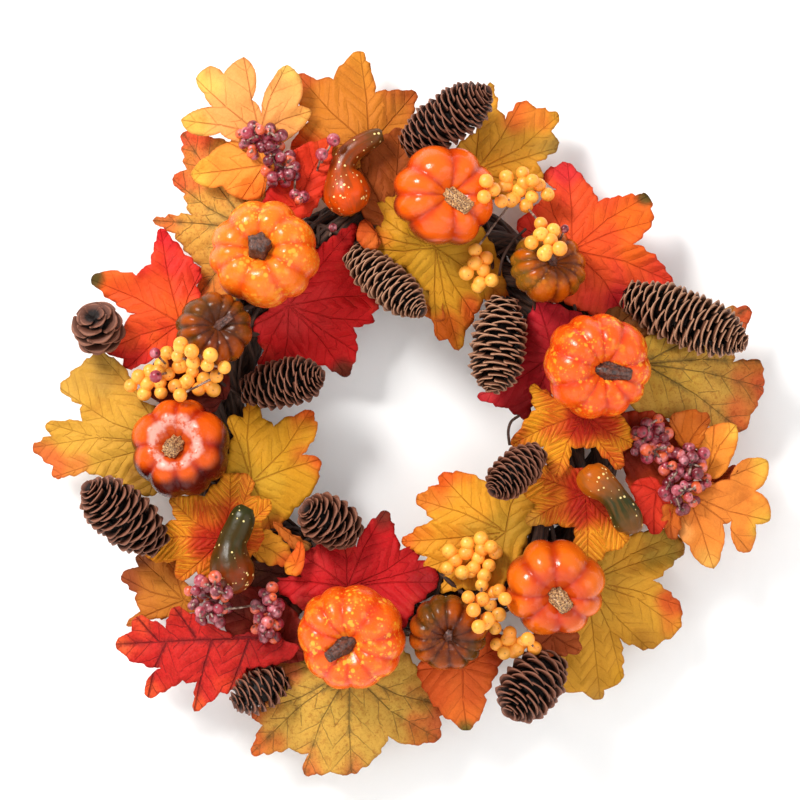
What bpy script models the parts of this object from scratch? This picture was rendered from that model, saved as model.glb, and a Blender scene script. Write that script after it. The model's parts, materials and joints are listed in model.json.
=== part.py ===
"""Harvest door wreath: a twisted vine ring on a wire hanger, trimmed with leaves, pumpkins, gourds, pinecones
and berry sprays. Metres, +Z up, the front faces -Y, and the origin is the hanging point inside the wire loop.

Every constant is in millimetres. Places on the wreath are (x, z) from the centre of the ring, seen from the
front. Pieces are made from the back forwards: each one is laid or pressed on what is already there."""

import math

import bmesh
import bpy
import numpy as np
from mathutils import Matrix, Vector
from mathutils.geometry import delaunay_2d_cdt

MM = 0.001
GAP = 0.35  # clear space left between neighbouring pieces

# Vine ring
RING_RADIUS = 114.0
STRANDS = 4
STRAND_RADIUS = 7.6
STRAND_OFFSET = 13.2  # from the ring's centreline to a strand's own
TWISTS = 4
STRAND_STEPS = 40

# Wire hanger
LOOP_WIRE = 1.1
LOOP_BAR_HALF = 8.0
LOOP_TOP_RADIUS = 7.5
LOOP_HEIGHT = 27.0  # hinge bar to the centreline of the top
TIE_WIRE = 0.8
TIE_CLEAR = 0.5
RING_Y = -(STRAND_OFFSET + STRAND_RADIUS + LOOP_WIRE + TIE_CLEAR)
RING_DROP = RING_RADIUS + LOOP_HEIGHT - LOOP_WIRE  # hanging point down to the centre of the ring

# Leaves
LEAF_THICKNESS = 0.9
LEAF_GRID = 15.0

# Relief: how far forward the wreath reaches, cell by cell
CELL = 1.5
SPAN = 255.0
FAR = 1000.0
REARMOST = -6.0  # nothing pressed on goes further back than this

# Pumpkins: name, place, diameter, where the stem stands off the middle, the way the stem bends, colour
LARGE_PUMPKINS = (
    ("pumpkin_upper_left", (-83, 96), 65, (-4, 4), 200, (0.83, 0.25, 0.03)),
    ("pumpkin_top", (25, 131), 61, (6, 0), -45, (0.78, 0.17, 0.03)),
    ("pumpkin_right", (116, 29), 63, (7, -5), -20, (0.83, 0.25, 0.03)),
    ("pumpkin_lower_right", (91, -103), 61, (1, -7), -60, (0.78, 0.17, 0.03)),
    ("pumpkin_bottom", (-31, -133), 65, (-3, -5), 215, (0.83, 0.25, 0.03)),
    ("pumpkin_left", (-133, -20), 59, (-6, 5), 150, (0.80, 0.20, 0.03)),
)
SMALL_PUMPKINS = (
    ("mini_pumpkin_left", (-112, 51), 45, (4, 3), 0, (0.45, 0.24, 0.04)),
    ("mini_pumpkin_right", (87, 89), 46, (6, 4), 20, (0.45, 0.24, 0.04)),
    ("mini_pumpkin_bottom", (27, -130), 46, (0, -5), -80, (0.45, 0.24, 0.04)),
)
LARGE_RIBS = 8
SMALL_RIBS = 12
LARGE_HEIGHT = 0.78  # of the diameter
SMALL_HEIGHT = 0.70
STEM_SIDES = 8

# Gourds: name, centreline places with the radius at each, colour
GOURDS = (
    (
        "gourd_top",
        ((-30, 122, 6), (-32, 127, 12), (-34, 134, 13.5), (-36, 142, 11), (-34, 151, 7.5), (-29, 159, 6.5),
         (-22, 164, 6), (-16, 167, 4)),
        (0.85, 0.30, 0.03),
    ),
    (
        "gourd_left",
        ((-104, -105, 6), (-103, -101, 11), (-102, -94, 13.5), (-103, -86, 11.5), (-102, -76, 8.5), (-98, -67, 8),
         (-95, -60, 7), (-93, -56, 4)),
        (0.55, 0.33, 0.05),
    ),
    (
        "gourd_right",
        ((113, -28, 5), (117, -33, 10), (121, -38, 11.5), (125, -44, 11), (130, -51, 10.5), (134, -58, 10),
         (137, -65, 8), (139, -69, 4)),
        (0.85, 0.28, 0.03),
    ),
)

# Pinecones: name, place of the stalk end, place of the open tip, widest diameter
CONES = (
    ("pinecone_top", (1, 161), (52, 194), 32),
    ("pinecone_inner_top", (-32, 98), (13, 60), 25),
    ("pinecone_inner_right", (61, 71), (54, 14), 33),
    ("pinecone_outer_right", (134, 73), (206, 42), 34),
    ("pinecone_inner_left", (-97, 14), (-48, 24), 30),
    ("pinecone_far_left", (-188, 38), (-184, 70), 29),
    ("pinecone_outer_left", (-146, -79), (-190, -40), 34),
    ("pinecone_inner_bottom", (-25, -75), (-61, -54), 29),
    ("pinecone_inner_lower_right", (85, -19), (51, -48), 25),
    ("pinecone_bottom_left", (-70, -158), (-102, -174), 26),
    ("pinecone_bottom_right", (95, -143), (62, -181), 35),
)
CONE_SIDES = 9
CONE_LAYER = 9.0

# Leaves: name, hub, lobes as (direction in degrees, length), depth at the hub and at the tips, colour
GOLD = (0.72, 0.42, 0.06)
AMBER = (0.50, 0.20, 0.03)
ORANGE = (0.75, 0.22, 0.03)
CRIMSON = (0.30, 0.02, 0.02)
GREEN_GOLD = (0.45, 0.42, 0.08)
BACK_LEAVES = (
    ("leaf_top_left_amber", (-31, 156), ((85, 65), (46, 56), (120, 61), (-46, 31), (190, 36)),
     (-42, -20), AMBER),
    ("leaf_upper_left_veined", (-87, 114), ((174, 73), (128, 73), (226, 52)), (-40, -14), GREEN_GOLD),
    ("leaf_top_right_green", (45, 148), ((34, 58), (14, 49), (51, 53), (70, 51), (90, 52), (-6, 37)),
     (-42, -20), GREEN_GOLD),
    ("leaf_upper_right_red", (109, 92), ((111, 60), (89, 52), (44, 56), (-10, 54), (-50, 44), (-80, 34)),
     (-42, -24), ORANGE),
    ("leaf_left_red", (-134, 56), ((155, 60), (103, 56), (195, 51), (221, 43)), (-42, -26), ORANGE),
    ("leaf_far_left_green", (-145, -15), ((154, 70), (125, 66), (182, 79), (198, 71)),
     (-42, -22), GREEN_GOLD),
    ("leaf_right_veined", (149, 26), ((-19, 71), (1, 64), (28, 68), (-36, 69)), (-42, -20), AMBER),
    ("leaf_lower_left_amber", (-134, -107), ((163, 39), (210, 38), (125, 32)), (-40, -22), AMBER),
    ("leaf_bottom_maple", (-31, -160), ((217, 77), (244, 65), (268, 57), (-35, 64), (199, 64), (-14, 60)),
     (-42, -20), GREEN_GOLD),
    ("leaf_lower_right_green", (98, -92), ((9, 74), (-24, 78), (-44, 70), (-69, 82)),
     (-42, -20), GREEN_GOLD),
    ("leaf_inner_top_green", (19, 100), ((-82, 60), (-32, 55), (177, 43), (148, 45), (-13, 44), (250, 49)),
     (-42, -26), GREEN_GOLD),
    ("leaf_inner_left_crimson", (-62, 72), ((51, 54), (0, 49), (-60, 55), (240, 47)), (-42, -20), CRIMSON),
    ("leaf_inner_right_crimson", (91, 24), ((196, 47), (101, 45), (231, 33)), (-42, -24), CRIMSON),
    ("leaf_inner_left_gold", (-91, -43), ((91, 55), (46, 56), (20, 43), (-45, 28)), (-44, -30), GOLD),
    ("leaf_inner_bottom_crimson", (-29, -101), ((178, 50), (107, 35), (67, 46), (29, 45), (-1, 48)),
     (-44, -26), CRIMSON),
    ("leaf_inner_lower_right_gold", (60, -76), ((148, 58), (127, 50), (179, 59), (221, 49), (60, 32)),
     (-44, -30), GOLD),
    ("leaf_outer_right_orange", (175, -48), ((70, 44), (25, 47), (-8, 47), (-43, 51), (-71, 46), (-104, 32)),
     (-46, -32), ORANGE),
    ("leaf_upper_left_orange", (-80, 170), ((172, 55), (139, 60), (110, 49), (79, 42), (30, 29)),
     (-48, -34), ORANGE),
    ("leaf_left_gold_orange", (-89, 152), ((194, 42), (130, 22), (250, 28)), (-50, -36), ORANGE),
    ("leaf_left_gold", (-111, -76), ((181, 49), (233, 38), (140, 38), (73, 43), (36, 40)),
     (-52, -46), GOLD),
    ("leaf_bottom_orange", (34, -144), ((-84, 47), (-62, 40), (0, 26), (218, 29)), (-48, -32), ORANGE),
    ("leaf_lower_right_gold", (109, -48), ((164, 47), (202, 35), (-92, 30), (-45, 37), (110, 18)),
     (-54, -54), GOLD),
    ("leaf_right_gold", (107, -2), ((198, 42), (150, 34), (243, 40), (-53, 39), (-23, 32)),
     (-52, -50), GOLD),
)
RED_LEAF = ("leaf_bottom_left_red", (-80, -134), (-174, -139), 31, (-46, -30), (0.55, 0.05, 0.02))

# Berry sprays: name, clusters as (middle, half width, half height, berries), berry radius, colour
YELLOW = (0.80, 0.50, 0.03)
BURGUNDY = (0.32, 0.03, 0.05)
SPRAYS = (
    ("yellow_berries_top", (((66, 135), 22, 12, 14), ((46, 87), 10, 13, 7), ((85, 104), 11, 11, 7)), 4.2, YELLOW),
    ("yellow_berries_left", (((-130, 26), 25, 17, 22), ((-156, 19), 8, 9, 5)), 4.2, YELLOW),
    ("yellow_berries_bottom", (((42, -86), 18, 13, 13), ((50, -114), 13, 16, 11), ((68, -137), 16, 7, 8)), 4.2,
     YELLOW),
    ("burgundy_berries_upper_left", (((-85, 165), 15, 11, 11), ((-73, 148), 12, 10, 8), ((-62, 131), 5, 3, 2)), 3.6,
     BURGUNDY),
    ("burgundy_berries_lower_left", (((-116, -111), 15, 16, 12), ((-81, -120), 9, 18, 13)), 3.6, BURGUNDY),
    ("burgundy_berries_right", (((150, -15), 12, 14, 13), ((169, -37), 16, 22, 17)), 3.6, BURGUNDY),
)
TWIG_RADIUS = 0.8
TWIG_SIDES = 4
GOLDEN_ANGLE = math.radians(137.508)


# ---- meshes ----


def clear_scene():
    for thing in list(bpy.data.objects):
        bpy.data.objects.remove(thing, do_unlink=True)


def material(name, colour, roughness, metallic=0.0):
    made = bpy.data.materials.new(name)
    made.use_nodes = True
    shader = made.node_tree.nodes["Principled BSDF"]
    shader.inputs["Base Color"].default_value = (*colour, 1.0)
    shader.inputs["Roughness"].default_value = roughness
    shader.inputs["Metallic"].default_value = metallic
    return made


def placed(point):
    """A place round the ring's centre, in millimetres, as metres from the hanging point."""
    return (point[0] * MM, point[1] * MM, (point[2] - RING_DROP) * MM)


def add_solid(name, points, faces, colour, roughness, metallic=0.0):
    mesh = bpy.data.meshes.new(name)
    mesh.from_pydata([placed(p) for p in points], [], [tuple(int(i) for i in face) for face in faces])
    made = bpy.data.objects.new(name, mesh)
    bpy.context.scene.collection.objects.link(made)
    facing = bmesh.new()
    facing.from_mesh(mesh)
    bmesh.ops.recalc_face_normals(facing, faces=facing.faces)
    facing.to_mesh(mesh)
    facing.free()
    mesh.materials.append(material(name, colour, roughness, metallic))
    return made


def band(first, second):
    """Triangles between two rings of corner numbers; the first may have a whole multiple of the second's."""
    times = len(first) // len(second)
    count = len(first)
    faces = []
    for i in range(count):
        inner = second[(i + times // 2) // times % len(second)]
        following = second[(i + 1 + times // 2) // times % len(second)]
        faces.append((first[i], first[(i + 1) % count], inner))
        if following != inner:
            faces.append((first[(i + 1) % count], following, inner))
    return faces


def fan(ring, tip):
    return [(ring[i], ring[(i + 1) % len(ring)], tip) for i in range(len(ring))]


def side_axes(along):
    """Two unit directions square to a third; the first is kept as near upright as it can be."""
    along = along / np.linalg.norm(along)
    up = np.array((0.0, -1.0, 0.0)) if abs(along[1]) < 0.9 else np.array((1.0, 0.0, 0.0))
    across = np.cross(along, up)
    across = across / np.linalg.norm(across)
    return across, np.cross(across, along)


def round_tube(path, radii, sides, closed):
    """A tube of round section along a path: a closed hoop, or a rod with pointed ends."""
    count = len(path)
    points = []
    rings = []
    for i, middle in enumerate(path):
        before = path[(i - 1) % count] if closed else path[max(i - 1, 0)]
        after = path[(i + 1) % count] if closed else path[min(i + 1, count - 1)]
        across, up = side_axes(after - before)
        rings.append(range(len(points), len(points) + sides))
        for k in range(sides):
            turn = 2 * math.pi * k / sides
            points.append(middle + radii[i] * (math.cos(turn) * across + math.sin(turn) * up))
    faces = []
    for i in range(count if closed else count - 1):
        faces += band(rings[i], rings[(i + 1) % count])
    if not closed:
        for ring, middle, beyond in ((rings[0], path[0], path[1]), (rings[-1], path[-1], path[-2])):
            radius = radii[0] if ring is rings[0] else radii[-1]
            outward = (middle - beyond) / np.linalg.norm(middle - beyond)
            points.append(middle + 0.4 * radius * outward)
            faces += fan(ring, len(points) - 1)
    return np.array(points), faces


def smooth_line(stations, steps):
    """Catmull-Rom through stations of any width, with this many steps between neighbours."""
    stations = np.array(stations, float)
    padded = np.vstack([2 * stations[0] - stations[1], stations, 2 * stations[-1] - stations[-2]])
    line = []
    for i in range(1, len(padded) - 2):
        a, b, c, d = padded[i - 1], padded[i], padded[i + 1], padded[i + 2]
        for k in range(steps):
            t = k / steps
            line.append(0.5 * (2 * b + (c - a) * t + (2 * a - 5 * b + 4 * c - d) * t**2
                               + (3 * b - a - 3 * c + d) * t**3))
    line.append(stations[-1])
    return np.array(line)


# ---- relief ----


def cells_under(corners):
    """Cells whose middles a triangle covers, seen from the front, and the weights of its corners there."""
    x, z = corners[:, 0], corners[:, 2]
    area = (x[1] - x[0]) * (z[2] - z[0]) - (x[2] - x[0]) * (z[1] - z[0])
    if abs(area) < 1e-6:
        return None
    low_x, high_x = math.ceil((x.min() + SPAN) / CELL), math.floor((x.max() + SPAN) / CELL)
    low_z, high_z = math.ceil((z.min() + SPAN) / CELL), math.floor((z.max() + SPAN) / CELL)
    if high_x < low_x or high_z < low_z:
        return None
    i, j = np.meshgrid(np.arange(low_x, high_x + 1), np.arange(low_z, high_z + 1), indexing="ij")
    px, pz = i * CELL - SPAN, j * CELL - SPAN
    second = ((px - x[0]) * (z[2] - z[0]) - (x[2] - x[0]) * (pz - z[0])) / area
    third = ((x[1] - x[0]) * (pz - z[0]) - (px - x[0]) * (z[1] - z[0])) / area
    weights = np.stack([1 - second - third, second, third], axis=-1)
    inside = weights.min(axis=-1) >= -1e-6
    if not inside.any():
        return None
    return i[inside], j[inside], weights[inside]


class Relief:
    def __init__(self):
        cells = int(2 * SPAN / CELL) + 1
        self.front = np.full((cells, cells), FAR)

    def add(self, points, faces):
        points = np.asarray(points)
        i = np.rint((points[:, 0] + SPAN) / CELL).astype(int)
        j = np.rint((points[:, 2] + SPAN) / CELL).astype(int)
        np.minimum.at(self.front, (i, j), points[:, 1])
        for face in faces:
            corners = points[list(face)[:3]]
            found = cells_under(corners)
            if found is not None:
                np.minimum.at(self.front, (found[0], found[1]), found[2] @ corners[:, 1])

    def near(self):
        """The most forward depth in each cell and the eight round it."""
        padded = np.pad(self.front, 1, constant_values=FAR)
        size = len(self.front)
        return np.min([padded[a : a + size, b : b + size] for a in range(3) for b in range(3)], axis=0)

    def press_on(self, points, faces, rearmost=REARMOST):
        """How far a piece moves along Y to rest on the relief, or to stop at the rearmost depth."""
        near = self.near()
        points = np.asarray(points)
        shift = rearmost - points[:, 1].max()
        for face in faces:
            corners = points[list(face)]
            found = cells_under(corners)
            if found is None:
                continue
            room = near[found[0], found[1]] - GAP - found[2] @ corners[:, 1]
            shift = min(shift, room.min())
        return shift

    def drape(self, points, faces, thickness):
        """Moves the corners of a thin sheet forward until all of it is clear of the relief."""
        near = self.near()
        for _ in range(60):
            worst = 0.0
            for face in faces:
                corners = points[list(face)]
                found = cells_under(corners)
                if found is None:
                    continue
                over = found[2] @ corners[:, 1] + thickness + GAP - near[found[0], found[1]]
                k = int(np.argmax(over))
                if over[k] > 0.02:
                    weights = found[2][k]
                    points[list(face), 1] -= over[k] * weights / (weights @ weights)
                    worst = max(worst, float(over[k]))
            if worst == 0.0:
                break
        return points


def add_pressed(relief, name, points, faces, colour, roughness):
    shift = relief.press_on(points, faces)
    points = np.asarray(points) + (0.0, shift, 0.0)
    relief.add(points, faces)
    return add_solid(name, points, faces, colour, roughness)


# ---- vine ring and hanger ----


def add_strand(relief, number):
    path = []
    for k in range(STRAND_STEPS):
        turn = 2 * math.pi * k / STRAND_STEPS
        twist = TWISTS * turn + 2 * math.pi * number / STRANDS
        reach = RING_RADIUS + STRAND_OFFSET * math.cos(twist)
        path.append(np.array((reach * math.sin(turn), RING_Y + STRAND_OFFSET * math.sin(twist),
                              reach * math.cos(turn))))
    points, faces = round_tube(path, [STRAND_RADIUS] * STRAND_STEPS, 6, True)
    relief.add(points, faces)
    add_solid(f"vine_strand_{number + 1}", points, faces, (0.07, 0.035, 0.02), 0.8)


def add_hanger_tie(relief):
    """A wire round the ring's top that bulges at the back to hold the loop's hinge bar."""
    near = STRAND_OFFSET + STRAND_RADIUS + TIE_CLEAR + TIE_WIRE
    bulge = 2 * LOOP_WIRE + TIE_CLEAR
    path = []
    for k in range(32):
        turn = 2 * math.pi * k / 32
        reach = near + bulge * max(math.cos(turn), 0.0) ** 4
        path.append(np.array((0.0, RING_Y + reach * math.cos(turn), RING_RADIUS + reach * math.sin(turn))))
    points, faces = round_tube(path, [TIE_WIRE] * len(path), 6, True)
    relief.add(points, faces)
    add_solid("hanger_tie", points, faces, (0.10, 0.10, 0.10), 0.45, 0.9)


def add_hanger_loop():
    """The loop the wreath hangs by; its origin is on the hinge bar's axis."""
    corners = [(-LOOP_BAR_HALF, 1.5), (-LOOP_BAR_HALF + 1.5, 0.0), (LOOP_BAR_HALF - 1.5, 0.0), (LOOP_BAR_HALF, 1.5)]
    middle = LOOP_HEIGHT - LOOP_TOP_RADIUS
    for k in range(13):
        turn = math.pi * k / 12
        corners.append((LOOP_TOP_RADIUS * math.cos(turn), middle + LOOP_TOP_RADIUS * math.sin(turn)))
    path = [np.array((x, 0.0, RING_RADIUS + z)) for x, z in corners]
    points, faces = round_tube(path, [LOOP_WIRE] * len(path), 8, True)
    loop = add_solid("hanger_loop", points, faces, (0.10, 0.10, 0.10), 0.45, 0.9)
    hinge = Vector(placed((0.0, 0.0, RING_RADIUS)))
    loop.data.transform(Matrix.Translation(-hinge))
    loop.location = hinge


# ---- leaves ----


def at_angle(degrees, length):
    return (length * math.cos(math.radians(degrees)), length * math.sin(math.radians(degrees)))


def palmate(lobes):
    """The outline of a lobed leaf round its hub: each lobe a tip between two shoulders, a notch between lobes."""
    lobes = sorted((angle % 360, length) for angle, length in lobes)
    outline = []
    for k, (angle, length) in enumerate(lobes):
        following, next_length = lobes[(k + 1) % len(lobes)]
        apart = (following - angle) % 360
        before = (angle - lobes[k - 1][0]) % 360
        outline.append(at_angle(angle - min(15, before / 3.4), 0.80 * length))
        outline.append(at_angle(angle, length))
        outline.append(at_angle(angle + min(15, apart / 3.4), 0.80 * length))
        if apart < 110:
            share = max(0.48, 1 - apart / 105)
            outline.append(at_angle(angle + apart / 2, share * min(length, next_length)))
        else:
            outline.append(at_angle(angle + 42, 0.45 * length))
            outline.append(at_angle(following - 42, 0.45 * next_length))
    return outline


def pinnate(base, tip, half_width, pairs):
    """The outline of a feather-lobed leaf along a straight rib."""
    rib = np.subtract(tip, base)
    side = np.array((-rib[1], rib[0])) / np.linalg.norm(rib)
    one_side = []
    for k in range(pairs):
        start = 0.10 + 0.72 * k / pairs
        reach = half_width * (1.0 - 0.18 * abs(k - 1))
        one_side.append((start, 0.26 * reach))
        one_side.append((start + 0.20, reach))
        one_side.append((start + 0.25, 0.62 * reach))
    outline = [(0.0, 1.5)] + one_side + [(0.86, 0.30 * half_width), (1.0, 0.0)]
    outline += [(along, -across) for along, across in reversed(one_side)] + [(0.0, -1.5)]
    return [tuple(along * rib + across * side) for along, across in outline]


def inside_points(outline):
    """Points on a square grid inside an outline, kept off its edge."""
    corners = np.array(outline)
    following = np.roll(corners, -1, axis=0)
    found = []
    low, high = corners.min(axis=0), corners.max(axis=0)
    for x in np.arange(low[0] + LEAF_GRID / 2, high[0], LEAF_GRID):
        for z in np.arange(low[1] + LEAF_GRID / 2, high[1], LEAF_GRID):
            crosses = (corners[:, 1] > z) != (following[:, 1] > z)
            rise = np.where(crosses, following[:, 1] - corners[:, 1], 1.0)
            at = corners[:, 0] + (z - corners[:, 1]) * (following[:, 0] - corners[:, 0]) / rise
            edge = following - corners
            share = ((np.array((x, z)) - corners) * edge).sum(axis=1) / (edge**2).sum(axis=1)
            nearest = corners + np.clip(share, 0, 1)[:, None] * edge
            off_edge = np.hypot(nearest[:, 0] - x, nearest[:, 1] - z).min()
            if (crosses & (at > x)).sum() % 2 and off_edge > 0.35 * LEAF_GRID:
                found.append((x, z))
    return found


def leaf_sheet(outline):
    """Triangles that fill an outline, with a few points inside it to bend at."""
    edge = range(len(outline))
    flat = [Vector(p) for p in list(outline) + inside_points(outline)]
    made = delaunay_2d_cdt(flat, [], [list(edge)], 1, 1e-4)
    return np.array([tuple(p) for p in made[0]]), [tuple(face) for face in made[2]]


def add_leaf(relief, name, hub, outline, depths, colour):
    flat, faces = leaf_sheet(outline)
    reach = np.hypot(flat[:, 0], flat[:, 1])
    depth = depths[0] + (depths[1] - depths[0]) * (reach / reach.max()) ** 1.5
    front = np.stack([flat[:, 0] + hub[0], depth, flat[:, 1] + hub[1]], axis=1)
    front = relief.drape(front, faces, LEAF_THICKNESS)
    back = front + (0.0, LEAF_THICKNESS, 0.0)
    count = len(front)
    edges = {}
    for a, b, c in faces:
        for pair in ((a, b), (b, c), (c, a)):
            edges[frozenset(pair)] = None if frozenset(pair) in edges else pair
    solid = list(faces) + [(c + count, b + count, a + count) for a, b, c in faces]
    for pair in edges.values():
        if pair is not None:
            a, b = pair
            solid += [(b, a, a + count), (b, a + count, b + count)]
    relief.add(front, faces)
    add_solid(name, np.vstack([front, back]), solid, colour, 0.6)


# ---- pumpkins, gourds and cones ----


def facing_front(points, lean):
    """Turns a piece that stands along Z so that its top faces -Y, leaning the way of a small (x, z) offset."""
    along = np.array((lean[0], -1.0, lean[1]))
    along = along / np.linalg.norm(along)
    across, up = side_axes(np.array(along))
    return points[:, :1] * across + points[:, 1:2] * up + points[:, 2:] * along


def add_pumpkin(relief, name, place, diameter, stem_off, bend, colour, ribs, height_share):
    """A ribbed pumpkin, its stem towards the front."""
    around = 24
    radius, half = diameter / 2, diameter * height_share / 2
    profile = [(-0.97, 0.30), (-0.86, 0.66), (-0.50, 0.93), (0.0, 1.0), (0.50, 0.93), (0.88, 0.66), (0.93, 0.40)]
    points = [np.array((0.0, 0.0, -0.86 * half))]
    rings = []
    for level, reach in profile:
        rings.append(range(len(points), len(points) + around))
        for k in range(around):
            turn = 2 * math.pi * k / around
            rib = 1.02 - 0.13 * (0.5 + 0.5 * math.cos(ribs * turn)) if reach > 0.5 else 1.0
            across = radius * reach * rib
            points.append(np.array((across * math.cos(turn), across * math.sin(turn), level * half)))
    faces = fan(rings[0], 0)
    for lower, upper in zip(rings, rings[1:]):
        faces += band(lower, upper)
    bend_way = math.radians(bend)
    for level, reach, shift in ((0.80, 0.15, 0.0), (1.02, 0.10, 0.0), (1.24, 0.09, 0.10), (1.36, 0.08, 0.24)):
        ring = range(len(points), len(points) + STEM_SIDES)
        for k in range(STEM_SIDES):
            turn = 2 * math.pi * k / STEM_SIDES
            x = radius * (reach * math.cos(turn) + shift * math.cos(bend_way))
            y = radius * (reach * math.sin(turn) + shift * math.sin(bend_way))
            points.append(np.array((x, y, level * half)))
        faces += band(rings[-1], ring)
        rings.append(ring)
    points.append(np.mean([points[k] for k in rings[-1]], axis=0) + (0.0, 0.0, 0.06 * half))
    faces += fan(rings[-1], len(points) - 1)
    lean = (stem_off[0] / half, stem_off[1] / half)
    points = facing_front(np.array(points), lean) + (place[0], 0.0, place[1])
    add_pressed(relief, name, points, faces, colour, 0.4)


def add_gourd(relief, name, stations, colour):
    line = smooth_line(stations, 2)
    path = np.stack([line[:, 0], np.zeros(len(line)), line[:, 1]], axis=1)
    points, faces = round_tube(list(path), line[:, 2], 12, False)
    add_pressed(relief, name, points, faces, colour, 0.35)


def add_cone(relief, name, stalk, tip, width):
    """A pinecone: flared layers of scales, each layer turned half a scale from the last."""
    span = np.array((tip[0] - stalk[0], 0.0, tip[1] - stalk[1]), float)
    length = np.linalg.norm(span)
    along = span / length
    across, up = side_axes(along)
    start = np.array((stalk[0], 0.0, stalk[1]), float)
    layers = max(3, round(length / CONE_LAYER))
    points = [start]
    rings = []
    for layer in range(layers):
        share = (layer + 0.5) / layers
        reach = 0.5 * width * (0.30 + 1.55 * share - 1.05 * share**3.6 - 0.18 * share**2)
        reach = min(reach, 0.5 * width)
        for begin, wide in ((0.05, 0.72), (0.72, 1.0)):
            middle = start + along * length * (layer + begin) / layers
            rings.append(range(len(points), len(points) + CONE_SIDES))
            for k in range(CONE_SIDES):
                turn = 2 * math.pi * (k + 0.5 * layer) / CONE_SIDES
                points.append(middle + reach * wide * (math.cos(turn) * across + math.sin(turn) * up))
    faces = fan(rings[0], 0)
    for lower, upper in zip(rings, rings[1:]):
        faces += band(lower, upper)
    points.append(start + span)
    faces += fan(rings[-1], len(points) - 1)
    add_pressed(relief, name, np.array(points), faces, (0.16, 0.08, 0.04), 0.8)


# ---- berry sprays ----


def cluster_places(clusters):
    """Berries spread evenly through each oval cluster."""
    places = []
    for (x, z), half_width, half_height, count in clusters:
        for k in range(count):
            reach = math.sqrt((k + 0.4) / count)
            turn = k * GOLDEN_ANGLE
            places.append((x + half_width * reach * math.cos(turn), z + half_height * reach * math.sin(turn)))
    return places


def resting_depth(near, place, radius):
    """The depth of a ball's middle when it rests on the relief."""
    steps = range(-math.ceil(radius / CELL) - 1, math.ceil(radius / CELL) + 2)
    i, j = round((place[0] + SPAN) / CELL), round((place[1] + SPAN) / CELL)
    depth = -50.0
    for a in steps:
        for b in steps:
            off = math.hypot((i + a) * CELL - SPAN - place[0], (j + b) * CELL - SPAN - place[1])
            if off < radius:
                depth = min(depth, near[i + a, j + b] - GAP - math.sqrt(radius**2 - off**2))
    return depth


def nearest_links(places):
    """The shortest set of straight twigs that joins every berry to the others."""
    joined = [0]
    links = []
    loose = set(range(1, len(places)))
    while loose:
        gap, a, b = min((float(np.linalg.norm(places[a] - places[b])), a, b) for a in joined for b in sorted(loose))
        links.append((a, b))
        joined.append(b)
        loose.remove(b)
    return links


def clear_twigs(near, places, links):
    """Moves berries forward until the twigs between them are clear of the relief too."""
    for _ in range(40):
        worst = 0.0
        for a, b in links:
            for share in np.linspace(0, 1, 9):
                x, y, z = (1 - share) * places[a] + share * places[b]
                room = near[round((x + SPAN) / CELL), round((z + SPAN) / CELL)] - GAP - TWIG_RADIUS - 0.5 - y
                if room < 0:
                    places[a][1] += room
                    places[b][1] += room
                    worst = min(worst, room)
        if worst > -0.01:
            break


def add_spray(relief, name, clusters, radius, colour):
    near = relief.near()
    flat = cluster_places(clusters)
    places = [np.array((x, resting_depth(near, (x, z), radius) - 0.7 * (k % 4), z)) for k, (x, z) in enumerate(flat)]
    links = nearest_links(places)
    clear_twigs(near, places, links)
    made = bmesh.new()
    for place in places:
        turned = Matrix.Rotation(0.7 * place[0] + 0.3 * place[2], 4, "Y")
        at = Matrix.Translation(Vector(placed(place)))
        bmesh.ops.create_icosphere(made, subdivisions=1, radius=radius * MM, matrix=at @ turned)
    for a, b in links:
        start, end = Vector(placed(places[a])), Vector(placed(places[b]))
        away = (end - start).normalized()
        inset = min(0.45 * radius * MM, 0.3 * (end - start).length)
        start, end = start + away * inset, end - away * inset
        turned = away.to_track_quat("Z", "Y").to_matrix().to_4x4()
        at = Matrix.Translation((start + end) / 2)
        bmesh.ops.create_cone(made, cap_ends=True, segments=TWIG_SIDES, radius1=TWIG_RADIUS * MM,
                              radius2=TWIG_RADIUS * MM, depth=(end - start).length, matrix=at @ turned)
    bmesh.ops.triangulate(made, faces=made.faces)
    mesh = bpy.data.meshes.new(name)
    made.to_mesh(mesh)
    corners = [tuple(v.co) for v in made.verts]
    faces = [tuple(v.index for v in face.verts) for face in made.faces]
    made.free()
    back = np.array(corners) / MM + (0.0, 0.0, RING_DROP)
    relief.add(back, faces)
    spray = bpy.data.objects.new(name, mesh)
    bpy.context.scene.collection.objects.link(spray)
    mesh.materials.append(material(name, colour, 0.3))
    join_overlaps(spray, places[0], radius)


def join_overlaps(spray, place, radius):
    """Makes the berries and twigs of a spray one body."""
    core_mesh = bpy.data.meshes.new(f"{spray.name}_core")
    core = bpy.data.objects.new(f"{spray.name}_core", core_mesh)
    bpy.context.scene.collection.objects.link(core)
    made = bmesh.new()
    at = Matrix.Translation(Vector(placed(place)))
    bmesh.ops.create_icosphere(made, subdivisions=1, radius=0.3 * radius * MM, matrix=at)
    made.to_mesh(core_mesh)
    made.free()
    core.hide_render = True
    core.display_type = "WIRE"
    union = spray.modifiers.new("Join", "BOOLEAN")
    union.operation = "UNION"
    union.solver = "EXACT"
    union.use_self = True
    union.object = core


# ---- wreath ----


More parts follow.
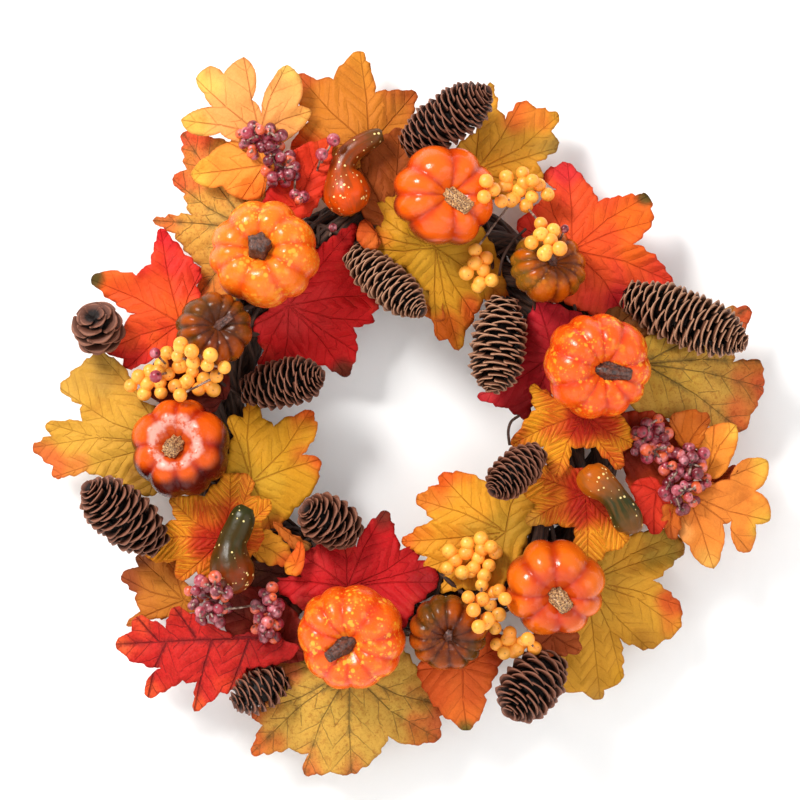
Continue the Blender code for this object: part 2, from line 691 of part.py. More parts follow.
def main():
    clear_scene()
    relief = Relief()
    for number in range(STRANDS):
        add_strand(relief, number)
    add_hanger_tie(relief)
    add_hanger_loop()
    for name, hub, lobes, depths, colour in BACK_LEAVES:
        add_leaf(relief, name, hub, palmate(lobes), depths, colour)
    name, base, tip, half_width, depths, colour = RED_LEAF
    add_leaf(relief, name, base, pinnate(base, tip, half_width, 3), depths, colour)
    for name, stalk, tip, width in CONES:
        add_cone(relief, name, stalk, tip, width)
    for name, place, diameter, off, bend, colour in LARGE_PUMPKINS:
        add_pumpkin(relief, name, place, diameter, off, bend, colour, LARGE_RIBS, LARGE_HEIGHT)
    for name, place, diameter, off, bend, colour in SMALL_PUMPKINS:
        add_pumpkin(relief, name, place, diameter, off, bend, colour, SMALL_RIBS, SMALL_HEIGHT)
    for name, stations, colour in GOURDS:
        add_gourd(relief, name, stations, colour)
    for name, clusters, radius, colour in SPRAYS:
        add_spray(relief, name, clusters, radius, colour)


main()
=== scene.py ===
"""Looks of the harvest door wreath: every CAD piece is stood for by a detailed one in the same place."""

import json
import math
import random

import bpy
import numpy as np
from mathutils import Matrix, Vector
from mathutils.bvhtree import BVHTree
from mathutils.geometry import delaunay_2d_cdt

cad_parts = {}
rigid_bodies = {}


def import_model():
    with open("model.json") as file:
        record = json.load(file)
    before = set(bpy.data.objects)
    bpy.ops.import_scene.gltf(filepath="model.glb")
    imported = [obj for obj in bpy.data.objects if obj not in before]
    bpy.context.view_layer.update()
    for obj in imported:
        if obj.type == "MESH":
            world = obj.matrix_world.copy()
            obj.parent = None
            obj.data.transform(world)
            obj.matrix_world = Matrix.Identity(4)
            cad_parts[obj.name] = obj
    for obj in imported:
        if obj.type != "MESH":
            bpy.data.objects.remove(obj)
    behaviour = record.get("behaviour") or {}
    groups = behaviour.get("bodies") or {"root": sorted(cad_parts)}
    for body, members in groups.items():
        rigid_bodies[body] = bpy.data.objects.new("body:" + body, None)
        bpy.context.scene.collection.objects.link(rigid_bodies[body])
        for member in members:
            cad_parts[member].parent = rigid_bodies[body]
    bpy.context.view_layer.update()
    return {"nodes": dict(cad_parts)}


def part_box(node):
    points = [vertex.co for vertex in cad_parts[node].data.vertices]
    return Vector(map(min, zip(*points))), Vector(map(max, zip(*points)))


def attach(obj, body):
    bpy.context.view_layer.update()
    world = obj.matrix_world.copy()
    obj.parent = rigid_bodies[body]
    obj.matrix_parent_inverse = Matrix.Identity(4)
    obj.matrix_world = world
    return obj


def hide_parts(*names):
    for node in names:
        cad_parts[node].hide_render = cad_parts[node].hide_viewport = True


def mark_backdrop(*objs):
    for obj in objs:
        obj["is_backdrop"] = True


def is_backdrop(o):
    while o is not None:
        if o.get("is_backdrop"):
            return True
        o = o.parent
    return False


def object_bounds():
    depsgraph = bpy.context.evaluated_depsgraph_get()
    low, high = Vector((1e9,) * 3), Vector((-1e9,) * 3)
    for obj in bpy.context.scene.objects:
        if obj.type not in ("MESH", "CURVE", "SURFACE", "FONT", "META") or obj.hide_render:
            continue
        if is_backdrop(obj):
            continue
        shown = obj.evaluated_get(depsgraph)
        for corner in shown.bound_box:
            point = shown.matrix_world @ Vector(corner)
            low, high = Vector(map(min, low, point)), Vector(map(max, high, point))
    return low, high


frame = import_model()
MM = 0.001

STRANDS = ["vine_strand_%d" % k for k in range(1, 5)]
STRAND_BOXES = [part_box(n) for n in STRANDS]
RING_Z = (min(b[0].z for b in STRAND_BOXES) + max(b[1].z for b in STRAND_BOXES)) / 2
RING_Y = (min(b[0].y for b in STRAND_BOXES) + max(b[1].y for b in STRAND_BOXES)) / 2 / MM
RING_RADIUS = 114.0
STRAND_OFFSET = 13.2
TWISTS = 4
GOLDEN = math.radians(137.508)


# ---------- places and meshes ----------
# Places are in millimetres, x and z from the ring's centre and y from the hanging point.

def world(points):
    moved = np.array(points, float) * MM
    moved[:, 2] += RING_Z
    return moved


def node_points(node):
    """A CAD node's corners in local millimetres."""
    co = np.array([tuple(v.co) for v in frame_node(node).data.vertices], float)
    co[:, 2] -= RING_Z
    return co / MM


def frame_node(node):
    found = frame["nodes"]
    return found[node] if isinstance(found, dict) else bpy.data.objects[node]


def node_box(node):
    low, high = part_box(node)
    low, high = np.array(low), np.array(high)
    low[2] -= RING_Z
    high[2] -= RING_Z
    return low / MM, high / MM


def put_in_scene(name, data):
    made = bpy.data.objects.new(name, data)
    bpy.context.scene.collection.objects.link(made)
    return made


def piece(name, points, faces, material, slot, nodes=(), body="wreath", attributes=None, uvs=None):
    mesh = bpy.data.meshes.new(name)
    mesh.from_pydata(world(points).tolist(), [], [tuple(f) for f in faces])
    for key, values in (attributes or {}).items():
        values = np.asarray(values, np.float32)
        kind = "FLOAT" if values.ndim == 1 else "FLOAT_VECTOR"
        made = mesh.attributes.new(key, kind, "POINT")
        made.data.foreach_set("value" if kind == "FLOAT" else "vector", values.ravel())
    if uvs is not None:
        layer = mesh.uv_layers.new(name="rib")
        layer.data.foreach_set("uv", np.asarray(uvs, np.float32).ravel())
    mesh.polygons.foreach_set("use_smooth", [True] * len(mesh.polygons))
    mesh.materials.append(material)
    mesh.update()
    made = put_in_scene(name, mesh)
    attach(made, body)
    if nodes:
        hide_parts(*nodes)
    return made


class Batch:
    """Gathers several shapes into one mesh."""

    def __init__(self):
        self.points, self.faces, self.values, self.count = [], [], {}, 0

    def add(self, points, faces, **values):
        points = np.asarray(points, float)
        self.points.append(points)
        self.faces += [tuple(int(i) + self.count for i in f) for f in faces]
        for key, value in values.items():
            value = np.asarray(value, float)
            if value.ndim == 0:
                value = np.full(len(points), float(value))
            self.values.setdefault(key, []).append(value)
        self.count += len(points)

    def piece(self, name, material, slot, nodes=(), **more):
        values = {key: np.concatenate(found) for key, found in self.values.items()}
        points = np.vstack(self.points)
        return piece(name, points, self.faces, material, slot, nodes, attributes=values, **more)


def unit(v):
    return v / np.maximum(np.linalg.norm(v, axis=-1, keepdims=True), 1e-9)


def grid_faces(rows, columns, wrap_rows=False, wrap_columns=True):
    faces = []
    for i in range(rows if wrap_rows else rows - 1):
        for j in range(columns if wrap_columns else columns - 1):
            a = i * columns + j
            b = i * columns + (j + 1) % columns
            c = ((i + 1) % rows) * columns
            faces.append((a, b, c + (j + 1) % columns, c + j))
    return faces


def tube(path, radii, sides=8, closed=False, ref=None, ridges=0, ridge_depth=0.0):
    """Corners, faces and stretched grain coordinates of a round tube."""
    path = np.asarray(path, float)
    count = len(path)
    radii = np.broadcast_to(np.asarray(radii, float), (count,))
    if closed:
        tangent = unit(np.roll(path, -1, 0) - np.roll(path, 1, 0))
    else:
        tangent = unit(np.gradient(path, axis=0))
    if ref is None:
        spread = np.abs(path[-1] - path[0]) if not closed else np.array((1.0, 0.0, 1.0))
        ref = np.eye(3)[int(np.argmin(spread))]
    ref = np.broadcast_to(np.asarray(ref, float), (count, 3))
    normal = unit(ref - (ref * tangent).sum(1, keepdims=True) * tangent)
    side = np.cross(tangent, normal)
    turn = 2 * np.pi * np.arange(sides) / sides
    reach = radii[:, None] * (1 + ridge_depth * np.cos(ridges * turn))[None, :]
    points = (path[:, None] + reach[..., None] * (np.cos(turn)[None, :, None] * normal[:, None]
                                                  + np.sin(turn)[None, :, None] * side[:, None]))
    length = np.concatenate([[0], np.cumsum(np.linalg.norm(np.diff(path, axis=0), axis=1))])
    if closed:
        loop = 2 * np.pi * length / (length[-1] + np.linalg.norm(path[0] - path[-1]))
        along = np.stack([np.cos(loop), np.sin(loop)], 1) * length[-1] / (2 * np.pi) * 0.12
        grain = np.stack([np.broadcast_to(along[:, :1], (count, sides)), along[:, 1:] + np.cos(turn) * 2.2,
                          np.broadcast_to(np.sin(turn) * 2.2, (count, sides))], 2)
    else:
        grain = np.stack([np.broadcast_to(length[:, None] * 0.12, (count, sides)),
                          np.broadcast_to(np.cos(turn) * 2.2, (count, sides)),
                          np.broadcast_to(np.sin(turn) * 2.2, (count, sides))], 2)
    points, grain = points.reshape(-1, 3), grain.reshape(-1, 3)
    faces = [f[::-1] for f in grid_faces(count, sides, wrap_rows=closed)]
    if not closed:
        faces.append(tuple(range(sides)))
        faces.append(tuple(range((count - 1) * sides, count * sides))[::-1])
    return points, faces, grain


def smooth_line(stations, steps):
    stations = np.array(stations, float)
    padded = np.vstack([2 * stations[0] - stations[1], stations, 2 * stations[-1] - stations[-2]])
    line = []
    for i in range(1, len(padded) - 2):
        a, b, c, d = padded[i - 1 : i + 3]
        for k in range(steps):
            t = k / steps
            line.append(0.5 * (2 * b + (c - a) * t + (2 * a - 5 * b + 4 * c - d) * t**2
                               + (3 * b - a - 3 * c + d) * t**3))
    line.append(stations[-1])
    return np.array(line)


# ---------- materials ----------

def rgb(*values):
    """An sRGB colour, 0 to 255, as linear values."""
    linear = [v / 255 / 12.92 if v <= 10 else ((v / 255 + 0.055) / 1.055) ** 2.4 for v in values]
    return (*linear, 1.0)


class Nodes:
    """A short way to write shader nodes."""

    def __init__(self, name, roughness=0.5, coat=0.0, coat_roughness=0.2, specular=0.5, metallic=0.0):
        self.material = bpy.data.materials.new(name)
        self.material.use_nodes = True
        self.tree = self.material.node_tree
        self.shader = self.tree.nodes["Principled BSDF"]
        inputs = self.shader.inputs
        inputs["Roughness"].default_value = roughness
        inputs["Coat Weight"].default_value = coat
        inputs["Coat Roughness"].default_value = coat_roughness
        inputs["Specular IOR Level"].default_value = specular
        inputs["Metallic"].default_value = metallic

    def put(self, value, socket):
        if hasattr(value, "is_output"):
            self.tree.links.new(value, socket)
        elif isinstance(value, (tuple, list)) and len(value) == 3 and socket.type == "RGBA":
            socket.default_value = (*value, 1.0)
        else:
            socket.default_value = value

    def math(self, operation, a, b=0.0):
        node = self.tree.nodes.new("ShaderNodeMath")
        node.operation = operation
        self.put(a, node.inputs[0])
        self.put(b, node.inputs[1])
        return node.outputs[0]

    def add(self, a, b):
        return self.math("ADD", a, b)

    def less(self, a, b):
        return self.math("SUBTRACT", a, b)

    def times(self, a, b):
        return self.math("MULTIPLY", a, b)

    def most(self, a, b):
        return self.math("MAXIMUM", a, b)

    def swing(self, noise, width):
        """A noise of 0 to 1 made to swing about zero."""
        return self.times(self.less(noise, 0.5), width)

    def step(self, value, low, high, start=0.0, end=1.0):
        """Rises smoothly from start to end as value goes from low to high."""
        node = self.tree.nodes.new("ShaderNodeMapRange")
        node.interpolation_type = "SMOOTHSTEP"
        self.put(value, node.inputs["Value"])
        self.put(low, node.inputs["From Min"])
        self.put(high, node.inputs["From Max"])
        self.put(start, node.inputs["To Min"])
        self.put(end, node.inputs["To Max"])
        return node.outputs[0]

    def mix(self, share, a, b, blend="MIX"):
        node = self.tree.nodes.new("ShaderNodeMix")
        node.data_type = "RGBA"
        node.blend_type = blend
        self.put(share, node.inputs[0])
        self.put(a, node.inputs[6])
        self.put(b, node.inputs[7])
        return node.outputs[2]

    def attribute(self, name, vector=False):
        node = self.tree.nodes.new("ShaderNodeAttribute")
        node.attribute_name = name
        return node.outputs["Vector" if vector else "Fac"]

    def place(self):
        node = self.tree.nodes.new("ShaderNodeTexCoord")
        return node.outputs["Object"]

    def uv(self):
        node = self.tree.nodes.new("ShaderNodeUVMap")
        node.uv_map = "rib"
        split = self.tree.nodes.new("ShaderNodeSeparateXYZ")
        self.tree.links.new(node.outputs[0], split.inputs[0])
        return split.outputs[0], split.outputs[1]

    def noise(self, scale, detail=2.0, rough=0.5, at=None):
        node = self.tree.nodes.new("ShaderNodeTexNoise")
        node.inputs["Scale"].default_value = scale
        node.inputs["Detail"].default_value = detail
        node.inputs["Roughness"].default_value = rough
        self.put(at if at is not None else self.place(), node.inputs["Vector"])
        return node.outputs["Fac"]

    def voronoi(self, scale, feature="F1"):
        node = self.tree.nodes.new("ShaderNodeTexVoronoi")
        node.feature = feature
        node.inputs["Scale"].default_value = scale
        self.put(self.place(), node.inputs["Vector"])
        return node.outputs["Distance"]

    def bump(self, height, distance, strength=1.0):
        node = self.tree.nodes.new("ShaderNodeBump")
        node.inputs["Distance"].default_value = distance
        node.inputs["Strength"].default_value = strength
        self.put(height, node.inputs["Height"])
        self.tree.links.new(node.outputs[0], self.shader.inputs["Normal"])

    def colour(self, value):
        self.put(value, self.shader.inputs["Base Color"])

    def rough(self, value):
        self.put(value, self.shader.inputs["Roughness"])


def leaf_cloth(kind):
    """Printed leaf cloth: the colours are painted on the mesh, and veins and weave lie over them."""
    n = Nodes("leaf_cloth_" + kind, roughness=0.6, specular=0.12)
    s, t = n.uv()
    s, t = n.times(s, 100.0), n.math("ABSOLUTE", n.times(t, 100.0))
    tint = n.mix(1.0, n.attribute("tint", vector=True), (0.80, 0.66, 0.50, 1.0), "MULTIPLY")
    patches = n.noise(45.0, 4.0, 0.65)
    fine = n.noise(190.0, 3.0, 0.65)
    deep = n.mix(1.0, tint, (0.60, 0.38, 0.30, 1.0), "MULTIPLY")
    pale = n.mix(0.22 if kind == "oak" else 0.12, tint, (0.90, 0.50, 0.16, 1.0))
    colour = n.mix(n.step(patches, 0.54, 0.78, 0.0, 0.35), tint, pale)
    colour = n.mix(n.step(patches, 0.22, 0.46, 0.55, 0.0), colour, deep)
    bent = n.add(n.less(s, n.times(t, 1.05)),
                  n.add(n.swing(fine, 2.4),
                         n.swing(patches, 3.0)))
    spacing = {"feather": 9.0, "flame": 4.2, "dark": 12.0, "oak": 13.0}.get(kind, 8.5)
    side = n.step(n.math("PINGPONG", bent, spacing / 2), 0.10, 0.55, 1.0, 0.0)
    side = n.times(side, n.step(t, 4.0, 20.0, 0.75, 0.05))
    taper = n.step(s, 0.0, 60.0, 0.0, 0.35)
    main = n.step(n.add(n.add(t, taper), n.times(fine, 0.4)), 0.35, 0.95, 1.0, 0.0)
    net = n.step(n.voronoi(380.0, "DISTANCE_TO_EDGE"), 0.02, 0.10, 0.22, 0.0)
    veins = n.most(main, n.most(n.times(side, 0.7), net))
    if kind in ("dark", "feather"):
        ink = rgb(88, 70, 38) if kind == "dark" else rgb(74, 12, 20)
        broken = n.step(n.noise(150.0, 3.0, 0.7), 0.40, 0.62)
        blot = n.times(n.step(n.add(t, n.times(patches, 3.0)), 1.2, 5.5, 0.95, 0.0), broken)
        if kind == "feather":
            blot = n.most(blot, n.step(t, 0.4, 1.1, 0.8, 0.0))
        inked = n.most(n.most(main, side), blot)
        colour = n.mix(n.times(net, 0.6), colour, deep)
        colour = n.mix(n.step(n.noise(240.0, 4.0, 0.75), 0.50, 0.66, 0.0, 0.55), colour, deep)
        colour = n.mix(n.step(n.noise(620.0, 2.0), 0.54, 0.68, 0.0, 0.5), colour, deep)
        colour = n.mix(n.times(inked, 0.8), colour, ink)
    elif kind == "flame":
        flow = n.tree.nodes.new("ShaderNodeCombineXYZ")
        n.put(n.times(s, 0.05), flow.inputs[0])
        n.put(n.times(bent, 0.55), flow.inputs[1])
        streak = n.noise(2.4, 4.0, 0.6, at=flow.outputs[0])
        near = n.step(n.attribute("reach"), 0.15, 0.80, 0.95, 0.22)
        colour = n.mix(n.times(n.step(streak, 0.48, 0.60), near), colour, rgb(180, 56, 10))
        colour = n.mix(n.times(n.step(streak, 0.34, 0.50, 0.75, 0.0), n.step(n.attribute("reach"), 0.2, 0.6)),
                       colour, rgb(236, 180, 44))
        colour = n.mix(n.times(veins, 0.5), colour, rgb(150, 30, 8))
    else:
        colour = n.mix(n.times(veins, 0.62), colour, deep)
    rim = n.step(n.add(n.attribute("rim"), n.times(patches, 2.0)), 0.9, 2.6, 0.45, 0.0)
    colour = n.mix(rim, colour, deep)
    colour = n.mix(n.step(n.noise(1100.0, 1.0), 0.40, 0.75, 0.0, 0.12), colour, pale)
    n.colour(colour)
    ribs = n.most(main, n.times(side, 0.7))
    height = n.add(n.times(ribs, -0.7), n.times(n.noise(700.0, 3.0), 0.35))
    height = n.add(height, n.times(patches, 1.2))
    height = n.add(height, n.times(n.step(n.math("PINGPONG", bent, spacing / 2), 0.0, spacing / 2),
                                          n.step(t, 0.0, 8.0, 0.2, 0.8)))
    n.bump(height, 0.0011, 0.8)
    return n.material


# ---------- leaves ----------

# Each leaf: name, slot, kind, depth (for a leaf with no CAD solid), hub, colour, outline and washes of
# other colours. An outline gives only tips (marked *) and the notches and shoulders between them, and
# toothed() makes the edge. A wash is its centre (a tip by its number, or the hub), radius and colour.
LEAVES = (
    ("leaf_upper_left_orange", "leaf_orange", "oak", None, (-86, 169), (250, 178, 108),
     "-125 203*, -116 211, -108 206, -96 216*, -89 207, -91 190, -85 181, -78 203, -70 211*, -61 202, -63 186, "
     "-55 183*, -64 170, -83 161, -101 165, -110 170, -128 170, -134 178*, -115 186, -120 194",
     ((0, 14, 250, 222, 120), (4, 16, 248, 205, 100), (2, 14, 248, 215, 120), (3, 12, 250, 190, 100))),
    ("leaf_left_gold_orange", "leaf_orange", "oak", None, (-83, 150), (250, 165, 70),
     "-128 145*, -117 156, -105 164*, -98 167, -83 156, -77 149, -82 140, -85 131*, -97 130*, -109 138, -121 138",
     ((0, 13, 250, 205, 85), (2, 14, 250, 140, 50))),
    ("leaf_top_left_amber", "leaf_amber", "plain", None, (-20, 162), (210, 134, 46),
     "-64 207*, -52 203, -42 203, -36 213, -26 221*, -19 208, -17 195, 8 196*, 2 171, 4 161*, -5 148, -10 133*, "
     "-21 123, -33 120*, -44 124, -51 143, -68 162*, -57 177, -62 190",
     ((1, 17, 226, 155, 55), (2, 19, 196, 104, 44), (0, 15, 196, 98, 42), (6, 17, 225, 90, 40),
      (4, 20, 165, 80, 42))),
    ("leaf_upper_left_veined", "leaf_green_gold", "dark", None, (-91, 111), (222, 175, 85),
     "-134 172*, -115 168, -100 163*, -82 131, -73 102, -84 82, -97 70, -125 71*, -122 90, -138 110, -152 118*, "
     "-128 121, -132 134, -140 143*, -131 149",
     (("hub", 24, 202, 175, 95), (0, 23, 226, 96, 58), (4, 16, 225, 106, 58), (3, 18, 225, 130, 65),
      (2, 19, 215, 125, 55))),
    ("leaf_top_right_green", "leaf_green_gold", "plain", None, (43, 146), (226, 170, 58),
     "53 202*, 57 185, 62 178, 72 190*, 81 186, 95 182*, 90 172, 94 162*, 81 153, 84 141*, 76 133, 52 131, "
     "36 141, 32 161, 44 170, 52 188",
     (("hub", 22, 225, 165, 50), (1, 18, 232, 120, 48), (3, 13, 180, 148, 70), (0, 16, 205, 165, 60))),
    ("leaf_upper_right_red", "leaf_red", "plain", None, (102, 99), (240, 88, 44),
     "100 153*, 111 141, 118 129, 133 132, 149 133*, 151 117*, 139 103, 154 94, 164 80*, 150 78, 135 76, "
     "134 61*, 119 60, 97 69, 88 76, 79 93, 69 115*, 82 128, 93 136, 85 146*",
     ((4, 26, 255, 76, 70), (0, 19, 222, 52, 62), (5, 16, 232, 60, 50), (2, 30, 250, 118, 38),
      (1, 6, 92, 80, 36), (3, 20, 240, 66, 48), (4, 14, 220, 42, 58), ("hub", 17, 245, 92, 40))),
    ("leaf_left_red", "leaf_red", "plain", None, (-134, 55), (240, 90, 45),
     "-147 113*, -132 97, -122 86*, -125 78, -120 55, -126 40*, -149 35, -167 28*, -169 34, -181 39*, -169 52, "
     "-161 61, -174 68, -189 82*, -180 87, -161 84, -152 91",
     (("hub", 24, 248, 104, 42), (5, 22, 246, 112, 42), (5, 8, 92, 80, 38), (0, 26, 220, 38, 50),
      (1, 17, 236, 60, 60), (3, 20, 220, 42, 42), (2, 20, 224, 48, 42))),
    ("leaf_far_left_green", "leaf_green_gold", "plain", None, (-141, -17), (222, 178, 72),
     "-184 38*, -171 31, -157 8, -138 -4, -128 -17, -133 -34, -153 -49*, -174 -38, -192 -34, -212 -38*, "
     "-212 -31, -225 -20*, -213 -13, -216 -5*, -194 -4, -194 6, -208 16*, -195 30",
     (("hub", 34, 205, 165, 62), (0, 26, 190, 156, 72), (2, 19, 224, 120, 62), (3, 12, 212, 115, 60),
      (1, 22, 168, 128, 45), (5, 15, 215, 175, 80))),
    ("leaf_inner_left_crimson", "leaf_crimson", "plain", None, (-69, 66), (206, 22, 32),
     "-28 115*, -32 95, -24 85, -11 73*, -19 61, -17 57*, -30 53, -28 38*, -34 23*, -47 30, -60 32, -73 27*, "
     "-87 28*, -84 39, -90 54*, -81 63, -68 82, -51 100, -40 108",
     ((4, 12, 106, 40, 28), (1, 10, 150, 30, 30), ("hub", 22, 212, 48, 58), (0, 22, 172, 14, 22),
      (5, 17, 205, 30, 38))),
    ("leaf_inner_top_green", "leaf_green_gold", "plain", None, (20, 101), (214, 162, 42),
     "-11 129*, -19 124*, -15 116, -19 109*, -14 106, -19 100*, 2 89, 16 75, 21 46*, 27 46, 34 39*, 38 51, "
     "43 61*, 49 70, 64 69*, 60 84, 52 105, 39 123, 22 130, 2 133",
     (("hub", 22, 212, 168, 48), (2, 10, 226, 106, 42), (1, 8, 225, 150, 50), (4, 18, 232, 118, 36),
      (7, 14, 225, 118, 42), (6, 10, 224, 104, 38))),
    ("leaf_inner_left_gold", "leaf_gold", "plain", None, (-91, -41), (222, 168, 42),
     "-92 13*, -85 -2, -78 -7, -66 -1, -56 3*, -52 -10, -61 -24, -50 -27*, -53 -43, -65 -56, -79 -71*, -91 -67, "
     "-106 -47*, -106 -33, -102 -13, -105 -1*, -96 -2",
     (("hub", 22, 214, 172, 52), (1, 14, 234, 106, 34), (2, 13, 226, 112, 38), (0, 11, 240, 150, 40),
      (3, 11, 225, 125, 40))),
    ("leaf_left_gold", "leaf_gold", "flame", None, (-108, -75), (240, 160, 35),
     "-104 -35*, -91 -38*, -92 -49, -79 -53*, -85 -65, -85 -77, -101 -93, -117 -101*, -124 -94, -135 -99*, "
     "-136 -87, -150 -88, -161 -76*, -146 -70, -136 -63, -140 -50*, -119 -49",
     (("hub", 22, 205, 52, 15), ("hub", 14, 180, 22, 10), (5, 11, 236, 132, 38), (1, 12, 238, 140, 45),
      (6, 9, 230, 150, 50), (4, 10, 225, 120, 30))),
    ("leaf_lower_left_amber", "leaf_amber", "plain", None, (-132, -112), (206, 130, 52),
     "-161 -85*, -152 -88, -136 -87*, -134 -98, -123 -117*, -141 -122, -155 -123, -168 -128*, -159 -119, "
     "-161 -108, -171 -98*, -160 -92",
     (("hub", 18, 212, 142, 52), (4, 13, 160, 82, 48), (0, 10, 148, 84, 48), (1, 12, 180, 100, 40))),
    ("leaf_bottom_left_red", "leaf_red", "feather", None, (-80, -134), (205, 40, 42),
     "-174 -139*, -164 -131, -161 -122*, -143 -129, -138 -116*, -120 -125, -102 -134*, -88 -131, -62 -140, "
     "-71 -148, -94 -152, -104 -166*, -110 -167, -126 -179*, -124 -161, -133 -160, -154 -171*, -155 -161, "
     "-146 -153, -167 -146",
     (("hub", 26, 172, 24, 30), (0, 14, 238, 98, 60), (1, 11, 238, 90, 55), (5, 14, 240, 100, 55),
      (6, 12, 240, 95, 55), (2, 11, 225, 70, 50), (4, 10, 230, 70, 45))),
    ("leaf_bottom_maple", "leaf_green_gold", "dark", None, (-32, -154), (215, 180, 88),
     "-92 -181*, -85 -188, -92 -206*, -69 -202, -57 -205, -60 -218*, -44 -216, -31 -217*, -18 -209, -9 -194, "
     "3 -199, 22 -197*, 22 -183, 29 -177*, 14 -162, 6 -150, -4 -138, -32 -137, -64 -142, -82 -141*, -69 -162, "
     "-80 -173",
     (("hub", 38, 206, 178, 85), (1, 18, 220, 118, 56), (2, 14, 215, 130, 70), (4, 19, 216, 112, 54),
      (6, 22, 200, 85, 60), (5, 20, 206, 112, 64), (3, 10, 205, 135, 75), (0, 14, 212, 108, 64))),
    ("leaf_bottom_orange", "leaf_orange", "plain", None, (36, -152), (222, 100, 42),
     "9 -154*, 15 -168, 29 -184, 39 -191*, 48 -180, 49 -169, 57 -152, 63 -137*, 51 -126, 32 -128, 16 -140",
     ((1, 26, 240, 126, 52), (1, 6, 110, 110, 52), (2, 16, 188, 72, 35))),
    ("leaf_inner_lower_right_gold", "leaf_gold", "plain", None, (62, -71), (238, 176, 52),
     "-1 -77*, 14 -66, 21 -64, 8 -51*, 22 -42, 23 -36*, 38 -35, 53 -43, 72 -41*, 81 -52, 75 -73, 66 -94, "
     "57 -105, 36 -104, 22 -107*, 29 -94, 13 -93*, 15 -86",
     (("hub", 22, 192, 155, 50), (0, 15, 234, 118, 36), (1, 16, 230, 140, 50), (2, 15, 236, 108, 34),
      (3, 18, 188, 150, 45))),
    ("leaf_lower_right_green", "leaf_green_gold", "plain", None, (111, -100), (220, 170, 58),
     "120 -74*, 136 -74, 156 -69, 166 -72*, 171 -82*, 151 -100, 169 -116*, 168 -130*, 149 -142*, 131 -135, "
     "133 -161*, 122 -167, 120 -173*, 109 -168, 97 -167*, 99 -152, 89 -127, 88 -110, 97 -95, 108 -82",
     (("hub", 26, 205, 165, 60), (1, 22, 160, 142, 60), (3, 15, 220, 102, 44), (2, 9, 170, 132, 50),
      (5, 11, 190, 140, 45), (7, 11, 190, 148, 60), (6, 8, 225, 175, 50))),
    ("leaf_inner_bottom_crimson", "leaf_crimson", "plain", None, (-33, -104), (204, 26, 40),
     "-10 -58*, -5 -72, -2 -82, 10 -80*, 9 -88, 19 -91*, 21 -101*, 7 -114, -1 -129, -12 -126, -25 -118, "
     "-58 -118*, -69 -110, -80 -100*, -61 -98, -62 -84*, -53 -80, -39 -67*, -28 -80, -22 -68",
     ((0, 10, 116, 40, 34), (6, 16, 200, 40, 50), (1, 20, 188, 26, 38), (4, 10, 150, 20, 30),
      ("hub", 16, 164, 14, 26), (3, 16, 160, 20, 34))),
    ("leaf_inner_right_crimson", "leaf_crimson", "plain", None, (91, 36), (178, 24, 42),
     "81 69*, 100 63, 109 59*, 110 43, 104 20, 99 14*, 78 12, 76 -3*, 64 4, 45 11*, 60 16, 69 28, 72 48",
     ((0, 20, 202, 34, 60), (4, 16, 196, 38, 58), (3, 18, 150, 14, 30))),
    ("leaf_right_veined", "leaf_amber", "dark", None, (145, 31), (208, 172, 84),
     "139 43, 153 49, 180 67, 195 64, 211 65*, 209 54, 199 41, 200 32, 217 33*, 219 17*, 211 0, 206 -10*, "
     "182 -5, 175 1, 160 -2, 141 2, 134 16, 134 31",
     (("hub", 34, 205, 175, 75), (2, 17, 222, 106, 62), (3, 20, 215, 118, 64), (0, 15, 214, 98, 58),
      (1, 15, 206, 130, 60))),
    ("leaf_outer_right_orange", "leaf_orange", "oak", None, (171, -47), (246, 155, 68),
     "165 -70*, 166 -52, 173 -41, 188 -41, 197 -39, 204 -28, 213 -26, 221 -28*, 219 -40, 213 -46, 221 -53, "
     "222 -64*, 213 -66, 210 -83*, 202 -82, 198 -64, 193 -66, 192 -83, 188 -93*, 178 -88, 173 -79",
     (("hub", 22, 246, 146, 64), (1, 13, 248, 202, 85), (2, 12, 250, 207, 80), (4, 12, 235, 190, 100),
      (0, 9, 240, 170, 100))),
    ("leaf_right_gold", "leaf_gold", "flame", None, (110, 1), (244, 172, 36),
     "65 -18*, 71 -8, 80 3, 77 18*, 90 11, 108 8, 123 6, 134 -4, 138 -17*, 132 -22, 131 -33*, 116 -19, "
     "101 -19, 98 -33, 92 -37*, 85 -27, 85 -19",
     (("hub", 22, 190, 32, 12), ("hub", 15, 165, 14, 12), (0, 13, 226, 116, 38), (4, 11, 215, 110, 35),
      (3, 15, 226, 98, 34))),
    ("leaf_lower_right_gold", "leaf_gold", "flame", None, (110, -48), (242, 162, 38),
     "62 -34*, 73 -27, 86 -30, 111 -34, 127 -41, 137 -62, 134 -77*, 122 -82, 111 -92*, 104 -81, 104 -67, "
     "93 -65, 74 -65*, 80 -54, 72 -44",
     (("hub", 22, 190, 42, 14), ("hub", 15, 165, 16, 12), (0, 12, 236, 128, 38), (3, 11, 235, 182, 80),
      (2, 14, 222, 150, 40))),
    ("minor_leaf_top_red", "leaf_red", "plain", -46, (-64, 125), (226, 58, 34),
     "-84 125*, -79 139, -72 143, -68 156*, -62 161, -43 166*, -44 147, -50 130, -58 119, -72 118",
     ((0, 16, 196, 30, 26), (2, 15, 232, 80, 40))),
    ("minor_leaf_right_brown", "leaf_amber", "plain", -44, (171, -20), (214, 118, 34),
     "161 -2*, 171 3, 185 -1*, 178 -20, 168 -20",
     ((1, 10, 190, 98, 32), (0, 8, 224, 130, 60))),
    ("minor_leaf_right_orange", "leaf_orange", "oak", -41, (184, -33), (248, 160, 62),
     "178 -14, 188 -6*, 201 -6*, 198 -27, 190 -38, 182 -37",
     ((1, 10, 250, 205, 85), (0, 8, 246, 150, 60))),
    ("minor_leaf_right_rust", "leaf_orange", "plain", -38, (186, -42), (176, 76, 26),
     "188 -35, 202 -31*, 193 -43, 183 -47",
     ((0, 7, 150, 60, 24),)),
